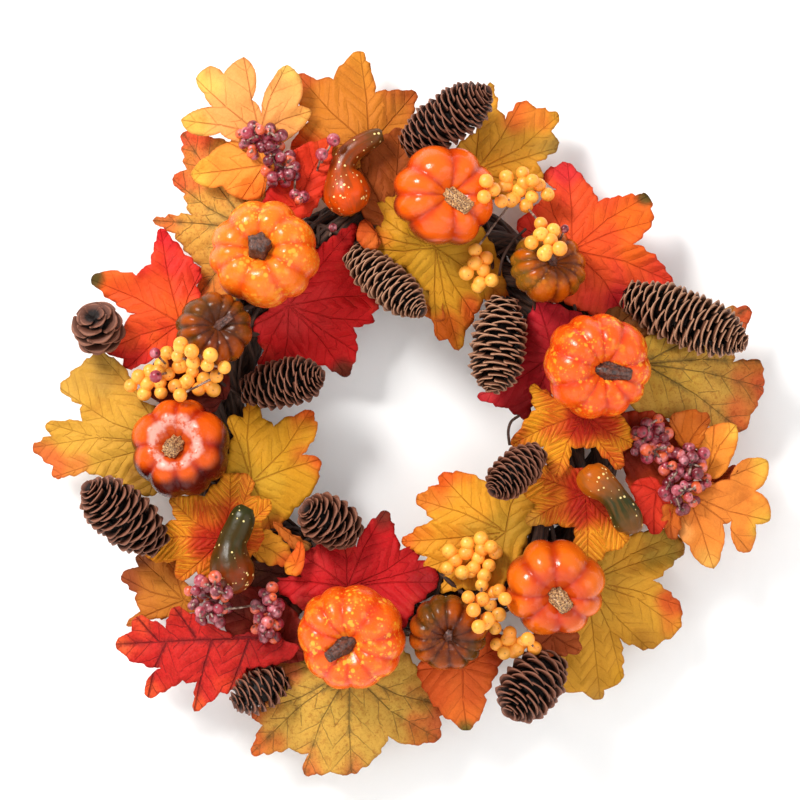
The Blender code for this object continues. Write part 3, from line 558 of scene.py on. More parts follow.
    ("minor_leaf_right_red", "leaf_red", "plain", -46, (153, -46), (214, 50, 36),
     "138 -42*, 149 -37, 159 -47, 160 -63*, 151 -72*, 143 -60",
     ((1, 9, 228, 80, 44),)),
    ("minor_leaf_right_amber", "leaf_amber", "plain", -44, (163, -57), (206, 108, 36),
     "157 -54, 167 -55, 166 -70, 162 -75*, 157 -68",
     ((0, 8, 180, 92, 34),)),
    ("minor_leaf_left_gold", "leaf_gold", "plain", -46, (-92, -75), (214, 150, 42),
     "-94 -68, -78 -71, -68 -81, -67 -90*, -83 -89*, -93 -81",
     ((0, 10, 226, 110, 40),)),
    ("minor_leaf_left_curl", "leaf_gold", "plain", -45, (-75, -66), (200, 112, 40),
     "-78 -64, -67 -72, -55 -79*, -63 -82, -75 -71",
     ((0, 9, 150, 110, 60),)),
    ("minor_leaf_left_orange", "leaf_orange", "plain", -50, (-64, -90), (240, 112, 36),
     "-61 -76*, -59 -88, -64 -97, -71 -93*, -65 -81",
     ((1, 8, 236, 170, 50),)),
    ("minor_leaf_bottom_rust", "leaf_orange", "plain", -48, (90, -132), (164, 80, 42),
     "75 -136, 87 -127, 103 -128, 107 -142*, 92 -144, 77 -147*",
     ((0, 9, 190, 100, 50),)),
    ("minor_leaf_top_rust", "leaf_orange", "plain", -46, (-15, 110), (206, 92, 34),
     "-23 118*, -15 108, -14 102*, -22 99, -28 108",
     ((1, 8, 226, 120, 50),)),
    # minor_leaf_lower_left_dark is partly painted shade: a dark leaf filling a gap whose darkness is partly dark
    # berry bases and partly shadow.
    ("minor_leaf_lower_left_dark", "leaf_crimson", "plain", -40, (-73, -136), (128, 30, 24),
     "-109 -115*, -101 -107, -89 -104*, -69 -115, -58 -130, -57 -145*, -68 -150, -92 -138, -106 -131",
     ((0, 14, 90, 22, 18),)),
    ("minor_leaf_right_dark", "leaf_red", "plain", -40, (137, -18), (190, 66, 30),
     "132 1, 153 1*, 167 -11, 175 -20, 180 -27*, 169 -48, 151 -52, 137 -45, 132 -20",
     (("hub", 22, 150, 44, 24), (1, 13, 220, 90, 40))),
    # minor_leaf_top_shade is a sheet of painted shade: a dark amber leaf standing for the shaded lower part of the
    # amber leaf.
    ("minor_leaf_top_shade", "leaf_amber", "plain", -42, (-8, 112), (164, 84, 34),
     "-22 118, -8 112, 8 124, 10 142*, 4 160, -2 173*, -15 165, -26 150*, -28 132", ()),
    ("minor_leaf_inner_top_green", "leaf_green_gold", "plain", -34, (-18, 110), (176, 136, 44),
     "-22 114, -8 106, 6 96, 22 72, 25 57*, 13 60, 2 74, -12 88*, -19 98",
     ((0, 14, 214, 112, 40),)),
    # The four leaves from here to the end are dark sheets of painted shade, put in gaps between pieces where there
    # is only shadow.
    ("minor_leaf_left_shade", "leaf_crimson", "plain", -42, (-108, 10), (104, 30, 22),
     "-151 30*, -136 37, -112 34*, -104 16, -122 -5*, -140 2, -153 14*", ()),
    ("minor_leaf_lower_left_shade", "leaf_crimson", "plain", -38, (-62, -100), (72, 26, 18),
     "-99 -92*, -84 -86, -68 -91, -55 -103, -60 -118, -73 -127*, -90 -122, -99 -108", ()),
    ("minor_leaf_bottom_left_shade", "leaf_red", "plain", -30, (-66, -148), (150, 44, 28),
     "-109 -146*, -92 -136, -73 -136, -59 -150, -63 -167, -79 -175*, -93 -168, -105 -158", ()),
    ("minor_leaf_right_shade", "leaf_amber", "plain", -36, (124, 48), (130, 82, 38),
     "124 64, 141 63*, 153 52, 163 37*, 158 24, 142 20, 129 27, 120 43", ()),
)
EDGE_STEP = 1.3
TOOTH_PITCH = 9.0
TOOTH_DEPTH = 1.5
GRID_X, GRID_Z = 3.0, 2.6
LEAF_THICKNESS = 0.0004


def read_outline(text):
    """An outline's places, and which of them are tips."""
    pairs = text.split(",")
    places = np.array([[float(v) for v in pair.strip(" *").split()] for pair in pairs])
    return places, [pair.endswith("*") for pair in pairs]


def toothed(places, tips, kind, chance):
    """The edge in short steps: an oak's sides bow out, and other leaves carry teeth that lean to a tip."""
    after = np.roll(places, -1, axis=0)
    area = (places[:, 0] * after[:, 1] - after[:, 0] * places[:, 1]).sum()
    bow = 0.10 if kind == "oak" else 0.03
    points = []
    for k, (a, b) in enumerate(zip(places, after)):
        way = b - a
        length = float(np.linalg.norm(way))
        out = np.array((way[1], -way[0])) / length * np.sign(area)
        teeth = 0 if kind == "oak" else round(length / TOOTH_PITCH)
        rising = tips[(k + 1) % len(tips)] or not tips[k]
        depth = TOOTH_DEPTH * chance.uniform(0.7, 1.3)
        count = max(1, round(length / EDGE_STEP))
        for step in range(count):
            t = step / count
            share = (t if rising else 1 - t) * teeth % 1
            push = 4 * bow * length * t * (1 - t) + depth * min(share / 0.75, (1 - share) / 0.25)
            points.append(a + way * t + out * (push + chance.uniform(-0.2, 0.2) if step else 0))
    return np.array(points)


def vein_lines(hub, tips, kind, chance):
    """A vein from the hub to each tip; on a feather leaf they branch from the first, which is its midrib."""
    lines = []
    for number, tip in enumerate(tips):
        start = hub
        if kind == "feather" and number:
            rib = tips[0] - hub
            along = float((tip - hub) @ rib / (rib @ rib))
            start = hub + rib * min(max(along - 0.14, 0.05), 0.9)
        way = tip - start
        bend = np.array((-way[1], way[0])) * chance.uniform(-0.07, 0.07)
        lines.append(np.array([start, start + way * 0.5 + bend, tip]))
    return lines


def to_lines(points, starts, ends):
    """Distance and share along for each point and each straight line."""
    way = ends - starts
    share = ((points[:, None] - starts[None]) * way[None]).sum(2) / np.maximum((way**2).sum(1), 1e-9)[None]
    share = np.clip(share, 0, 1)
    foot = starts[None] + share[..., None] * way[None]
    return np.linalg.norm(points[:, None] - foot, axis=2), share


def inside(points, outline):
    a, b = outline, np.roll(outline, -1, axis=0)
    x, z = points[:, :1], points[:, 1:]
    crossing = (a[None, :, 1] > z) != (b[None, :, 1] > z)
    rise = np.where(np.abs(b[:, 1] - a[:, 1]) < 1e-9, 1e-9, b[:, 1] - a[:, 1])
    at = a[None, :, 0] + (z - a[None, :, 1]) * ((b - a)[:, 0] / rise)[None]
    return ((crossing & (x < at)).sum(1) % 2) == 1


def surface_fit(node):
    """A smooth surface through a CAD leaf: depth at any (x, z)."""
    corners = node_points(node)
    keys = np.round(corners[:, [0, 2]], 1)
    places, index = np.unique(keys, axis=0, return_inverse=True)
    depth = np.zeros(len(places))
    count = np.zeros(len(places))
    np.add.at(depth, index.reshape(-1), corners[:, 1])
    np.add.at(count, index.reshape(-1), 1)
    depth /= count
    middle = places.mean(axis=0)

    def basis(at):
        return np.sqrt(np.linalg.norm(at[:, None] - places[None], axis=2) ** 2 + 36.0)

    flat = np.hstack([np.ones((len(places), 1)), (places - middle) / 50])
    size = len(places)
    system = np.zeros((size + 3, size + 3))
    system[:size, :size] = basis(places) - 1.5 * np.eye(size)
    system[:size, size:] = flat
    system[size:, :size] = flat.T
    weights = np.linalg.solve(system, np.concatenate([depth, np.zeros(3)]))

    def at(points):
        rest = np.hstack([np.ones((len(points), 1)), (points - middle) / 50])
        found = basis(points) @ weights[:size] + rest @ weights[size:]
        return np.clip(found, depth.min() - 3, depth.max() + 3)

    return at


def free_share(places):
    """0 over the ring, rising to 1 well outside it or well inside it."""
    off = np.hypot(places[:, 0], places[:, 1])
    return np.clip((off - 132) / 40, 0, 1) + np.clip((90 - off) / 30, 0, 1)


def leaf_mesh(edge, chance):
    """Corners on and inside the edge, the faces between them, and each corner's distance to the edge."""
    after = np.roll(edge, -1, axis=0)
    low, high = edge.min(axis=0), edge.max(axis=0)
    grid = [(x + (row % 2) * GRID_X / 2, z) for row, z in enumerate(np.arange(low[1], high[1], GRID_Z))
            for x in np.arange(low[0], high[0], GRID_X)]
    grid = np.array(grid) + np.array([(chance.uniform(-0.4, 0.4), chance.uniform(-0.4, 0.4)) for _ in grid])
    apart = to_lines(grid, edge, after)[0].min(axis=1)
    flat = np.vstack([edge, grid[inside(grid, edge) & (apart > 1.1)]])
    made = delaunay_2d_cdt([Vector(p) for p in flat], [], [list(range(len(edge)))], 1, 1e-4)
    places = np.array([tuple(v) for v in made[0]])
    return places, [tuple(f) for f in made[2]], to_lines(places, edge, after)[0].min(axis=1)


def rib_layout(places, faces, lines):
    """UVs along the nearest vein and off it to either side, and each corner's distance to a vein."""
    starts = np.vstack([line[:-1] for line in lines])
    ends = np.vstack([line[1:] for line in lines])
    steps = [np.linalg.norm(np.diff(line, axis=0), axis=1) for line in lines]
    before = np.concatenate([np.concatenate([[0], np.cumsum(step)[:-1]]) for step in steps])
    way = ends - starts
    lengths = np.linalg.norm(way, axis=1)
    off, share = to_lines(places, starts, ends)
    beside = places[:, None] - starts[None]
    sign = np.where(way[None, :, 0] * beside[..., 1] - way[None, :, 1] * beside[..., 0] >= 0, 1.0, -1.0)
    centres = np.array([places[list(f)].mean(axis=0) for f in faces])
    nearest = np.argmin(to_lines(centres, starts, ends)[0], axis=1)
    uvs = [((before[k] + share[i, k] * lengths[k]) / 100, sign[i, k] * off[i, k] / 100)
           for f, k in zip(faces, nearest) for i in f]
    return uvs, off.min(axis=1)


def leaf_depth(name, depth, places, hub, rim, away, chance):
    """The CAD leaf's depth, or a flat one, with sunk veins and a wavy edge."""
    if depth is None:
        y = surface_fit(name)(places)
    else:
        y = depth + 0.02 * np.linalg.norm(places - hub, axis=1)
    wave = 0.0
    for _ in range(3):
        turn, pitch = chance.uniform(0, 6.28), chance.uniform(0.13, 0.26)
        along = places[:, 0] * math.cos(turn) + places[:, 1] * math.sin(turn)
        wave = wave + np.sin(pitch * along + chance.uniform(0, 6))
    free, near_edge = free_share(places), np.exp(-rim / 11)
    y = y - 1.1 * (1 - np.exp(-away / 5.0)) + 0.7 * np.exp(-((away / 1.7) ** 2))
    y = y + 1.3 * wave * near_edge * (0.22 + 0.78 * free)
    return y - 1.5 * near_edge**3 * free


def painted(places, body, washes, hub, tips):
    """Each corner's colour, in linear values: the leaf's own, with the washes over it."""
    shade = np.tile(np.array(body, float), (len(places), 1))
    for spot, radius, *colour in washes:
        x, z = hub if spot == "hub" else tips[spot]
        gap = np.hypot(places[:, 0] - x, places[:, 1] - z) / radius
        gap = gap + 0.18 * np.sin(places[:, 0] * 0.31 + x) + 0.18 * np.sin(places[:, 1] * 0.27 + z)
        amount = np.clip((1.35 - gap) / 1.05, 0, 1)
        amount = (amount**2 * (3 - 2 * amount))[:, None]
        shade = shade * (1 - amount) + amount * np.array(colour, float)
    shade = shade / 255
    return np.where(shade <= 0.04045, shade / 12.92, ((shade + 0.055) / 1.055) ** 2.4)


def leaf(name, slot, kind, depth, hub, body, outline, washes, material, seed):
    chance = random.Random(seed)
    hub = np.array(hub, float)
    corners, is_tip = read_outline(outline)
    tips = corners[is_tip]
    places, faces, rim = leaf_mesh(toothed(corners, is_tip, kind, chance), chance)
    uvs, away = rib_layout(places, faces, vein_lines(hub, tips, kind, chance))
    y = leaf_depth(name, depth, places, hub, rim, away, chance)
    reach = np.linalg.norm(places - hub, axis=1)
    values = {"rim": rim, "reach": reach / reach.max(), "tint": painted(places, body, washes, hub, tips)}
    points = np.stack([places[:, 0], y, places[:, 1]], 1)
    nodes = [name] if depth is None else []
    made = piece(name + "_cloth", points, faces, material, slot, nodes, attributes=values, uvs=uvs)
    thick = made.modifiers.new("Thickness", "SOLIDIFY")
    thick.thickness = LEAF_THICKNESS
    thick.offset = 0.0


def make_leaves():
    kinds = {}
    for seed, row in enumerate(LEAVES):
        kind = row[2]
        if kind not in kinds:
            kinds[kind] = leaf_cloth(kind)
        leaf(*row, kinds[kind], seed + 11)


# ---------- vine ring ----------

def bark():
    n = Nodes("vine_bark", roughness=0.72, specular=0.35)
    grain = n.attribute("grain", vector=True)
    streak = n.noise(1.0, 6.0, 0.65, at=grain)
    broad = n.noise(0.25, 3.0, 0.5, at=grain)
    colour = n.mix(n.step(streak, 0.35, 0.68), rgb(30, 17, 12), rgb(86, 54, 38))
    colour = n.mix(n.step(broad, 0.45, 0.75, 0.0, 0.6), colour, rgb(58, 40, 32))
    n.colour(colour)
    n.bump(streak, 0.0007, 0.9)
    return n.material


def swell(turn, counts, chance):
    """A wave round the ring, with one of these counts of crests."""
    return np.sin(chance.choice(counts) * turn + chance.uniform(0, 6))


def make_ring(material):
    steps = 220
    turn = 2 * np.pi * np.arange(steps) / steps
    outward = np.stack([np.sin(turn), np.zeros(steps), np.cos(turn)], 1)
    forward = np.array((0.0, 1.0, 0.0))
    for number, node in enumerate(STRANDS):
        chance = random.Random(40 + number)
        twist = TWISTS * turn + 2 * np.pi * number / 4
        middle = outward * (RING_RADIUS + STRAND_OFFSET * np.cos(twist))[:, None]
        middle[:, 1] += RING_Y + STRAND_OFFSET * np.sin(twist)
        made = Batch()
        for k in range(7):
            lay = 2 * np.pi * k / 6 + chance.choice((3, 4, 5)) * turn + chance.uniform(0, 1)
            lay = lay + 0.5 * swell(turn, (2, 3), chance)
            core = k == 6
            off = 0 * turn if core else 4.6 + 0.7 * swell(turn, (5, 7, 9), chance)
            thick = (3.4 if core else 2.5) + 0.35 * swell(turn, (9, 14, 17), chance)
            thick = thick + 0.5 * np.maximum(0, np.sin(23 * turn + k)) ** 8
            path = middle + off[:, None] * (np.cos(lay)[:, None] * outward + np.sin(lay)[:, None] * forward)
            points, faces, grain = tube(path, thick, 9, closed=True, ref=outward)
            made.add(points, faces, grain=grain)
        made.piece("vine_bundle_%d" % (number + 1), material, "vine", [node])
    wraps = Batch()
    for k, laps in enumerate((9, -8, 13, 3, -5, 6, 2, -3)):
        lay = laps * turn + 2.1 * k + 0.4 * np.sin(3 * turn + k)
        off = 19.6 + 0.7 * np.sin(5 * turn + k)
        path = outward * (RING_RADIUS + off * np.cos(lay))[:, None]
        path[:, 1] += RING_Y + off * np.sin(lay)
        thick = (1.1, 1.5)[k % 2] + 0.15 * np.sin(11 * turn)
        points, faces, grain = tube(path, thick, 7, closed=True, ref=outward)
        wraps.add(points, faces, grain=grain)
    for line in (((69.7, -52, -0.5), (65, -56, -4), (63.2, -58, -10), (64, -56, -18)),
                 ((74, -42, 112), (66, -52, 104), (60, -56, 94), (58, -50, 84)),
                 ((66, -50, 106), (74, -54, 100), (78, -52, 92))):
        points, faces, grain = tube(smooth_line(line, 6), 0.9, 7, ref=(0.1, 1, 0.15))
        wraps.add(points, faces, grain=grain)
    wraps.piece("vine_wraps", material, "vine")


# ---------- pumpkins ----------

def pumpkin_material(name, crest, valley, spots=None, spot_amount=0.0, rim=None, gloss=0.26, top=None,
                     ring=None, moss=None, shine=1.0, rim_at=0.22):
    n = Nodes(name, roughness=gloss, coat=0.14 * shine, coat_roughness=0.10, specular=0.28 * shine)
    ridge, level = n.attribute("crest"), n.attribute("level")
    cloud = n.noise(55.0, 3.0, 0.6)
    lift = n.add(ridge, n.swing(cloud, 1.1))
    # Grooves take the valley colour: partly the pumpkin's own redder groove colour, partly painted crease shade.
    colour = n.mix(n.step(lift, 0.05, 0.95), valley, crest)
    # Painted shade: the colour darkens to the valley colour towards the silhouette and the back, as if shaded.
    low = n.add(level, n.swing(cloud, 0.16))
    colour = n.mix(n.step(low, 0.36, 0.54, 0.0, 0.55), colour, valley)
    if moss is not None:
        colour = n.mix(n.step(n.noise(28.0, 3.0, 0.6), 0.46, 0.62, 0.0, 0.8), colour, moss)
    # Rim: partly the pumpkin's own darker edge paint, partly painted shade at the silhouette; the mask reaches
    # further round on the underside.
    if rim is not None:
        tilt = n.add(low, n.times(n.attribute("low"), 0.13))
        tilt = n.less(tilt, n.times(ridge, 0.05))
        colour = n.mix(n.step(tilt, rim_at, rim_at + 0.16, 0.0, 0.95), colour, rim)
    if top is not None:
        colour = n.mix(n.step(low, 0.12, 0.26, 0.7, 0.0), colour, top)
    # Painted reflection: a pale patchy band round the stem stands for the glossy paint's reflection of the lights.
    if ring is not None:
        patchy = n.step(n.noise(130.0, 3.0, 0.7), 0.34, 0.54)
        painted_reflection_band = n.times(n.step(low, 0.075, 0.105), n.step(low, 0.135, 0.185, 1.0, 0.0))
        colour = n.mix(n.times(n.times(painted_reflection_band, patchy), 0.62), colour, ring)
    if spots is not None:
        where = n.noise(60.0, 2.0)
        size = n.step(where, 0.38, 0.62, 0.02, 0.36)
        dots = n.step(n.less(n.voronoi(230.0), size), -0.05, 0.05, 1.0, 0.0)
        small = n.step(n.less(n.voronoi(480.0), n.times(size, 0.85)), -0.05, 0.05, 0.8, 0.0)
        haze = n.step(n.noise(150.0, 3.0, 0.6), 0.52, 0.68, 0.0, 0.45)
        mark = n.most(n.most(dots, small), haze)
        colour = n.mix(n.times(mark, spot_amount), colour, spots)
    grime = n.step(n.noise(420.0, 2.0), 0.60, 0.78, 0.0, 0.22)
    colour = n.mix(grime, colour, valley)
    n.colour(colour)
    n.rough(n.step(n.noise(220.0, 2.0), 0.3, 0.7, gloss - 0.06, gloss + 0.10))
    height = n.add(n.noise(160.0, 3.0, 0.6), n.times(n.noise(900.0, 2.0), 0.12))
    n.bump(height, 0.0009, 0.55)
    return n.material


def stem_material(name, dark, light, scale=500.0):
    n = Nodes(name, roughness=0.45, coat=0.25, specular=0.5)
    streak = n.noise(scale, 4.0, 0.7)
    cells = n.voronoi(scale * 1.2)
    colour = n.mix(n.step(streak, 0.40, 0.62), dark, light)
    colour = n.mix(n.step(cells, 0.05, 0.35, 0.7, 0.0), colour, dark)
    n.colour(colour)
    n.bump(n.add(streak, n.times(cells, -0.6)), 0.0012, 0.9)
    return n.material


def front_axes(lean):
    along = np.array((lean[0], -1.0, lean[1]))
    along = along / np.linalg.norm(along)
    up = np.array((0.0, -1.0, 0.0)) if abs(along[1]) < 0.9 else np.array((1.0, 0.0, 0.0))
    across = np.cross(along, up)
    across = across / np.linalg.norm(across)
    return across, np.cross(across, along), along


def pumpkin(node, diameter, stem_off, bend, ribs, height_share, crease, skin, stem_skin, slot, stem, seed):
    """A ribbed pumpkin facing forwards, with its stem as a piece of its own."""
    chance = random.Random(seed)
    low, high = node_box(node)
    centre_x, centre_z = (low[0] + high[0]) / 2, (low[2] + high[2]) / 2
    radius = diameter / 2
    half = radius * height_share
    centre = np.array((centre_x, high[1] - 0.95 * half, centre_z))
    across, up, along = front_axes((stem_off[0] / half, stem_off[1] / half))
    around, rows = ribs * 16, 64
    theta = 2 * np.pi * np.arange(around) / around
    polar = np.linspace(0.004, np.pi - 0.004, rows)
    wobble = np.zeros(around)
    for k in range(1, 5):
        wobble += 0.011 * np.sin(k * theta + chance.uniform(0, 6))
    shifted = theta + 0.09 * np.sin(2 * theta + chance.uniform(0, 6)) + 0.06 * np.sin(3 * theta + seed)
    lobe = np.abs(np.sin(ribs * shifted / 2)) ** 0.85
    wide = np.sin(polar) ** 0.80
    out = wide[:, None] * (1 - crease * (np.sin(polar) ** 0.6)[:, None] * (1 - lobe[None]))
    out = out * (1 + wobble[None])
    tall = np.sign(np.cos(polar)) * np.abs(np.cos(polar)) ** 0.92
    tall = tall[:, None] + 0.07 * (lobe[None] - 0.5) * np.sin(2 * polar)[:, None]
    dip = 0.46 * np.exp(-((out / 0.36) ** 2)) * (polar < np.pi / 2)[:, None]
    dip = dip - 0.22 * np.exp(-((out / 0.30) ** 2)) * (polar > np.pi / 2)[:, None]
    tall = tall - dip
    local = np.stack([radius * out * np.cos(theta)[None], radius * out * np.sin(theta)[None], half * tall], 2)
    local = local.reshape(-1, 3)
    points = centre + local[:, :1] * across + local[:, 1:2] * up + local[:, 2:] * along
    faces = grid_faces(rows, around)
    faces.append(tuple(range(around))[::-1])
    faces.append(tuple(range((rows - 1) * around, rows * around)))
    crest = np.broadcast_to(lobe[None], out.shape).ravel()
    level = np.broadcast_to((polar / np.pi)[:, None], out.shape).ravel()
    under = np.clip(-(points[:, 2] - centre[2]) / radius, -1, 1)
    piece(node + "_body", points, faces, skin, slot, [node],
          attributes={"crest": crest, "level": level, "low": under})
    thick, length, lift, ridges, taper = stem
    way = math.radians(bend)
    side = np.array((math.cos(way), 0.0, math.sin(way)))
    side = side - np.dot(side, along) * along
    side /= np.linalg.norm(side)
    foot = centre + along * half * 0.46
    t = np.linspace(0, 1, 26)
    path = foot + (length * t * lift)[:, None] * along + (length * (1 - lift) * t**1.5)[:, None] * side
    reach = thick * (1.2 - (1.2 - taper) * t**0.8 + 0.10 * t**8)
    reach[0] *= 1.2
    reach[-1] *= 0.70
    points, faces, grain = tube(path, reach, 36, ref=np.cross(along, side), ridges=ridges, ridge_depth=0.15)
    lumps = [math.sin(k * 0.37 * 7.1 + seed) + math.sin(k * 0.113 + 2 * seed) for k in range(len(points))]
    lumps = np.array(lumps)
    points = points + 0.035 * thick * lumps[:, None] * unit(points - np.repeat(path, 36, 0))
    piece(node + "_stem", points, faces, stem_skin, slot, attributes={"grain": grain})


def make_pumpkins():
    # The valley colours below are partly each pumpkin's own groove colour and partly painted shade, in the grooves
    # and darkening the sides towards the silhouette.
    speckled = pumpkin_material("pumpkin_speckled", rgb(232, 84, 12), rgb(206, 54, 6), rgb(250, 170, 40), 0.65)
    mottled = pumpkin_material("pumpkin_mottled", rgb(234, 92, 14), rgb(212, 58, 6), rgb(250, 180, 50), 0.75)
    pale = pumpkin_material("pumpkin_pale", rgb(240, 112, 20), rgb(222, 78, 6), rgb(250, 178, 60), 0.60)
    # The rim colours below are partly each pumpkin's own darker edge paint and partly painted shade at the
    # silhouette and underside.
    glossy = pumpkin_material("pumpkin_glossy", rgb(230, 92, 12), rgb(192, 56, 8), gloss=0.18,
                              rim=rgb(136, 48, 24), rim_at=0.37)
    amber = pumpkin_material("pumpkin_amber", rgb(222, 100, 14), rgb(178, 52, 8), gloss=0.18,
                             top=rgb(186, 46, 14), rim=rgb(150, 46, 14), rim_at=0.34)
    # pumpkin_rimmed's ring colour is a painted reflection: a pale patchy band round the stem standing for the
    # glossy paint's reflection.
    rimmed = pumpkin_material("pumpkin_rimmed", rgb(216, 84, 10), rgb(166, 36, 6), rim=rgb(62, 5, 6),
                              gloss=0.22, shine=0.6, top=rgb(176, 62, 18), ring=rgb(226, 182, 170))
    brown = pumpkin_material("pumpkin_brown", rgb(156, 68, 10), rgb(84, 30, 6), rgb(160, 84, 24), 0.3,
                             gloss=0.22, top=rgb(66, 28, 20), moss=rgb(66, 48, 12), shine=0.45)
    umber = pumpkin_material("pumpkin_umber", rgb(178, 82, 6), rgb(112, 44, 6), rgb(204, 118, 28), 0.3,
                             gloss=0.22, top=rgb(84, 42, 22), moss=rgb(104, 78, 20), shine=0.45)
    plain_stem = stem_material("stem_brown", rgb(46, 20, 13), rgb(98, 52, 32), 380.0)
    dark_stem = stem_material("stem_dark", rgb(42, 19, 14), rgb(96, 52, 36), 380.0)
    tufted = stem_material("stem_tufted", rgb(92, 44, 18), rgb(232, 182, 120), 1000.0)
    mini_stem = stem_material("stem_mini", rgb(56, 28, 24), rgb(110, 66, 50), 400.0)
    # Each: node, diameter, how far the stem end is turned aside, the stem's bend in degrees, ribs, height share,
    # crease, skins, and the stem's radius, length, lift, ridges and taper.
    for node, diameter, off, bend, ribs, tall, crease, skin, stem_skin, stem in (
        ("pumpkin_upper_left", 65.5, (-4, 4), 60, 9, 0.76, 0.085, pale, plain_stem, (6.2, 17, 0.80, 5, 0.95)),
        ("pumpkin_top", 62.0, (6, 0), -40, 8, 0.76, 0.10, glossy, tufted, (4.8, 23, 0.40, 9, 0.90)),
        ("pumpkin_right", 64.5, (6, -4), -8, 10, 0.76, 0.07, speckled, dark_stem, (6.0, 26, 0.42, 4, 0.42)),
        ("pumpkin_lower_right", 60.5, (1, -7), -50, 8, 0.76, 0.11, amber, tufted, (5.4, 20, 0.55, 9, 0.72)),
        ("pumpkin_bottom", 64.5, (-3, -5), 212, 10, 0.76, 0.06, mottled, dark_stem, (5.6, 25, 0.45, 4, 0.45)),
        ("pumpkin_left", 60.5, (-4, 5), 250, 8, 0.76, 0.10, rimmed, tufted, (5.0, 18, 0.62, 9, 0.85)),
        ("mini_pumpkin_left", 45.5, (4, 3), 35, 12, 0.70, 0.08, brown, mini_stem, (2.6, 17, 0.45, 5, 0.7)),
        ("mini_pumpkin_right", 46.0, (6, 4), 150, 12, 0.70, 0.08, umber, mini_stem, (2.6, 17, 0.45, 5, 0.7)),
        ("mini_pumpkin_bottom", 47.0, (0, -5), 85, 12, 0.70, 0.08, brown, mini_stem, (2.6, 14, 0.6, 5, 0.7)),
    ):
        slot = "pumpkin_brown" if node.startswith("mini") else "pumpkin_orange"
        pumpkin(node, diameter, off, bend, ribs, tall, crease, skin, stem_skin, slot, stem, len(node))


# ---------- gourds ----------

# Each gourd: node, stations as (x, z, radius) from bulb to end, and the colours along it.
GOURDS = (
    ("gourd_top", ((-30, 121, 4), (-31, 124, 9.8), (-33, 131, 14.2), (-35, 140, 12.4), (-36, 149, 7.8),
                   (-32, 157, 6.8), (-24, 163, 6.4), (-16, 167, 5.4), (-12, 168, 3.4)),
     rgb(206, 70, 2), rgb(128, 52, 8), rgb(84, 54, 22)),
    ("gourd_left", ((-104, -106, 4), (-103, -102, 9.5), (-102, -95, 13.5), (-103, -86, 12), (-102, -76, 8.9),
                    (-98, -67, 8.4), (-95, -59, 7.2), (-93, -55, 4)),
     rgb(116, 42, 2), rgb(58, 42, 8), rgb(44, 46, 18)),
    ("gourd_right", ((108, -32, 4), (110.5, -35, 9.0), (116, -40, 10.4), (122, -44.5, 8.6), (127, -50, 7.9),
                     (131.5, -57, 8.8), (134.5, -63, 9.2), (136.5, -68, 7.2), (137, -71, 3.5)),
     rgb(172, 84, 8), rgb(44, 48, 20), rgb(112, 66, 22)),
)


def make_gourds():
    for name, stations, bulb, middle, end in GOURDS:
        n = Nodes(name + "_skin", roughness=0.34, coat=0.08, coat_roughness=0.12, specular=0.16)
        along = n.attribute("along")
        cloud = n.noise(60.0, 3.0, 0.6)
        ramp = n.add(along, n.swing(cloud, 0.4))
        colour = n.mix(n.step(ramp, 0.22, 0.60), bulb, middle)
        colour = n.mix(n.step(ramp, 0.60, 0.98), colour, end)
        stripes = n.step(n.noise(1.4, 3.0, 0.5, at=n.attribute("grain", vector=True)), 0.45, 0.64, 0.0, 0.45)
        colour = n.mix(stripes, colour, end)
        dots = n.step(n.less(n.voronoi(300.0), n.step(n.noise(90.0), 0.35, 0.65, 0.03, 0.24)), -0.03, 0.03,
                      1.0, 0.0)
        colour = n.mix(n.times(dots, 0.85), colour, rgb(252, 226, 150))
        n.colour(colour)
        n.bump(n.add(n.noise(150.0, 3.0), n.times(dots, 0.5)), 0.0008, 0.6)
        low, high = node_box(name)
        line = smooth_line(stations, 8)
        path = np.stack([line[:, 0], np.full(len(line), (low[1] + high[1]) / 2), line[:, 1]], 1)
        points, faces, grain = tube(path, line[:, 2], 40, ref=(0, -1, 0), ridges=9, ridge_depth=0.014)
        share = np.repeat(np.linspace(0, 1, len(line)), 40)
        made = Batch()
        made.add(points, faces, grain=grain * (0.4, 1.0, 1.0), along=share)
        made.piece(name + "_body", n.material, "gourd", [name])


# ---------- pinecones ----------

# Each cone: node, stalk end, tip, width, openness and forward lean in degrees.
CONES = (
    ("pinecone_top", (1, 161), (52, 194), 31, 0.95, 22),
    ("pinecone_inner_top", (-32, 98), (13, 60), 26, 1.15, 26),
    ("pinecone_inner_right", (61, 71), (54, 14), 33, 0.95, 16),
    ("pinecone_outer_right", (134, 73), (206, 42), 34, 0.95, 20),
    ("pinecone_inner_left", (-97, 14), (-48, 24), 29, 1.0, 24),
    ("pinecone_far_left", (-180, 43), (-186, 60), 30, 1.5, 52),
    ("pinecone_outer_left", (-146, -79), (-188, -42), 34, 1.0, 28),
    ("pinecone_inner_bottom", (-28, -73), (-58, -56), 30, 1.05, 36),
    ("pinecone_inner_lower_right", (82, -21), (53, -46), 25, 1.0, 34),
    ("pinecone_bottom_left", (-70, -158), (-102, -174), 26, 1.35, 16),
    ("pinecone_bottom_right", (93, -145), (64, -178), 35, 1.0, 30),
)


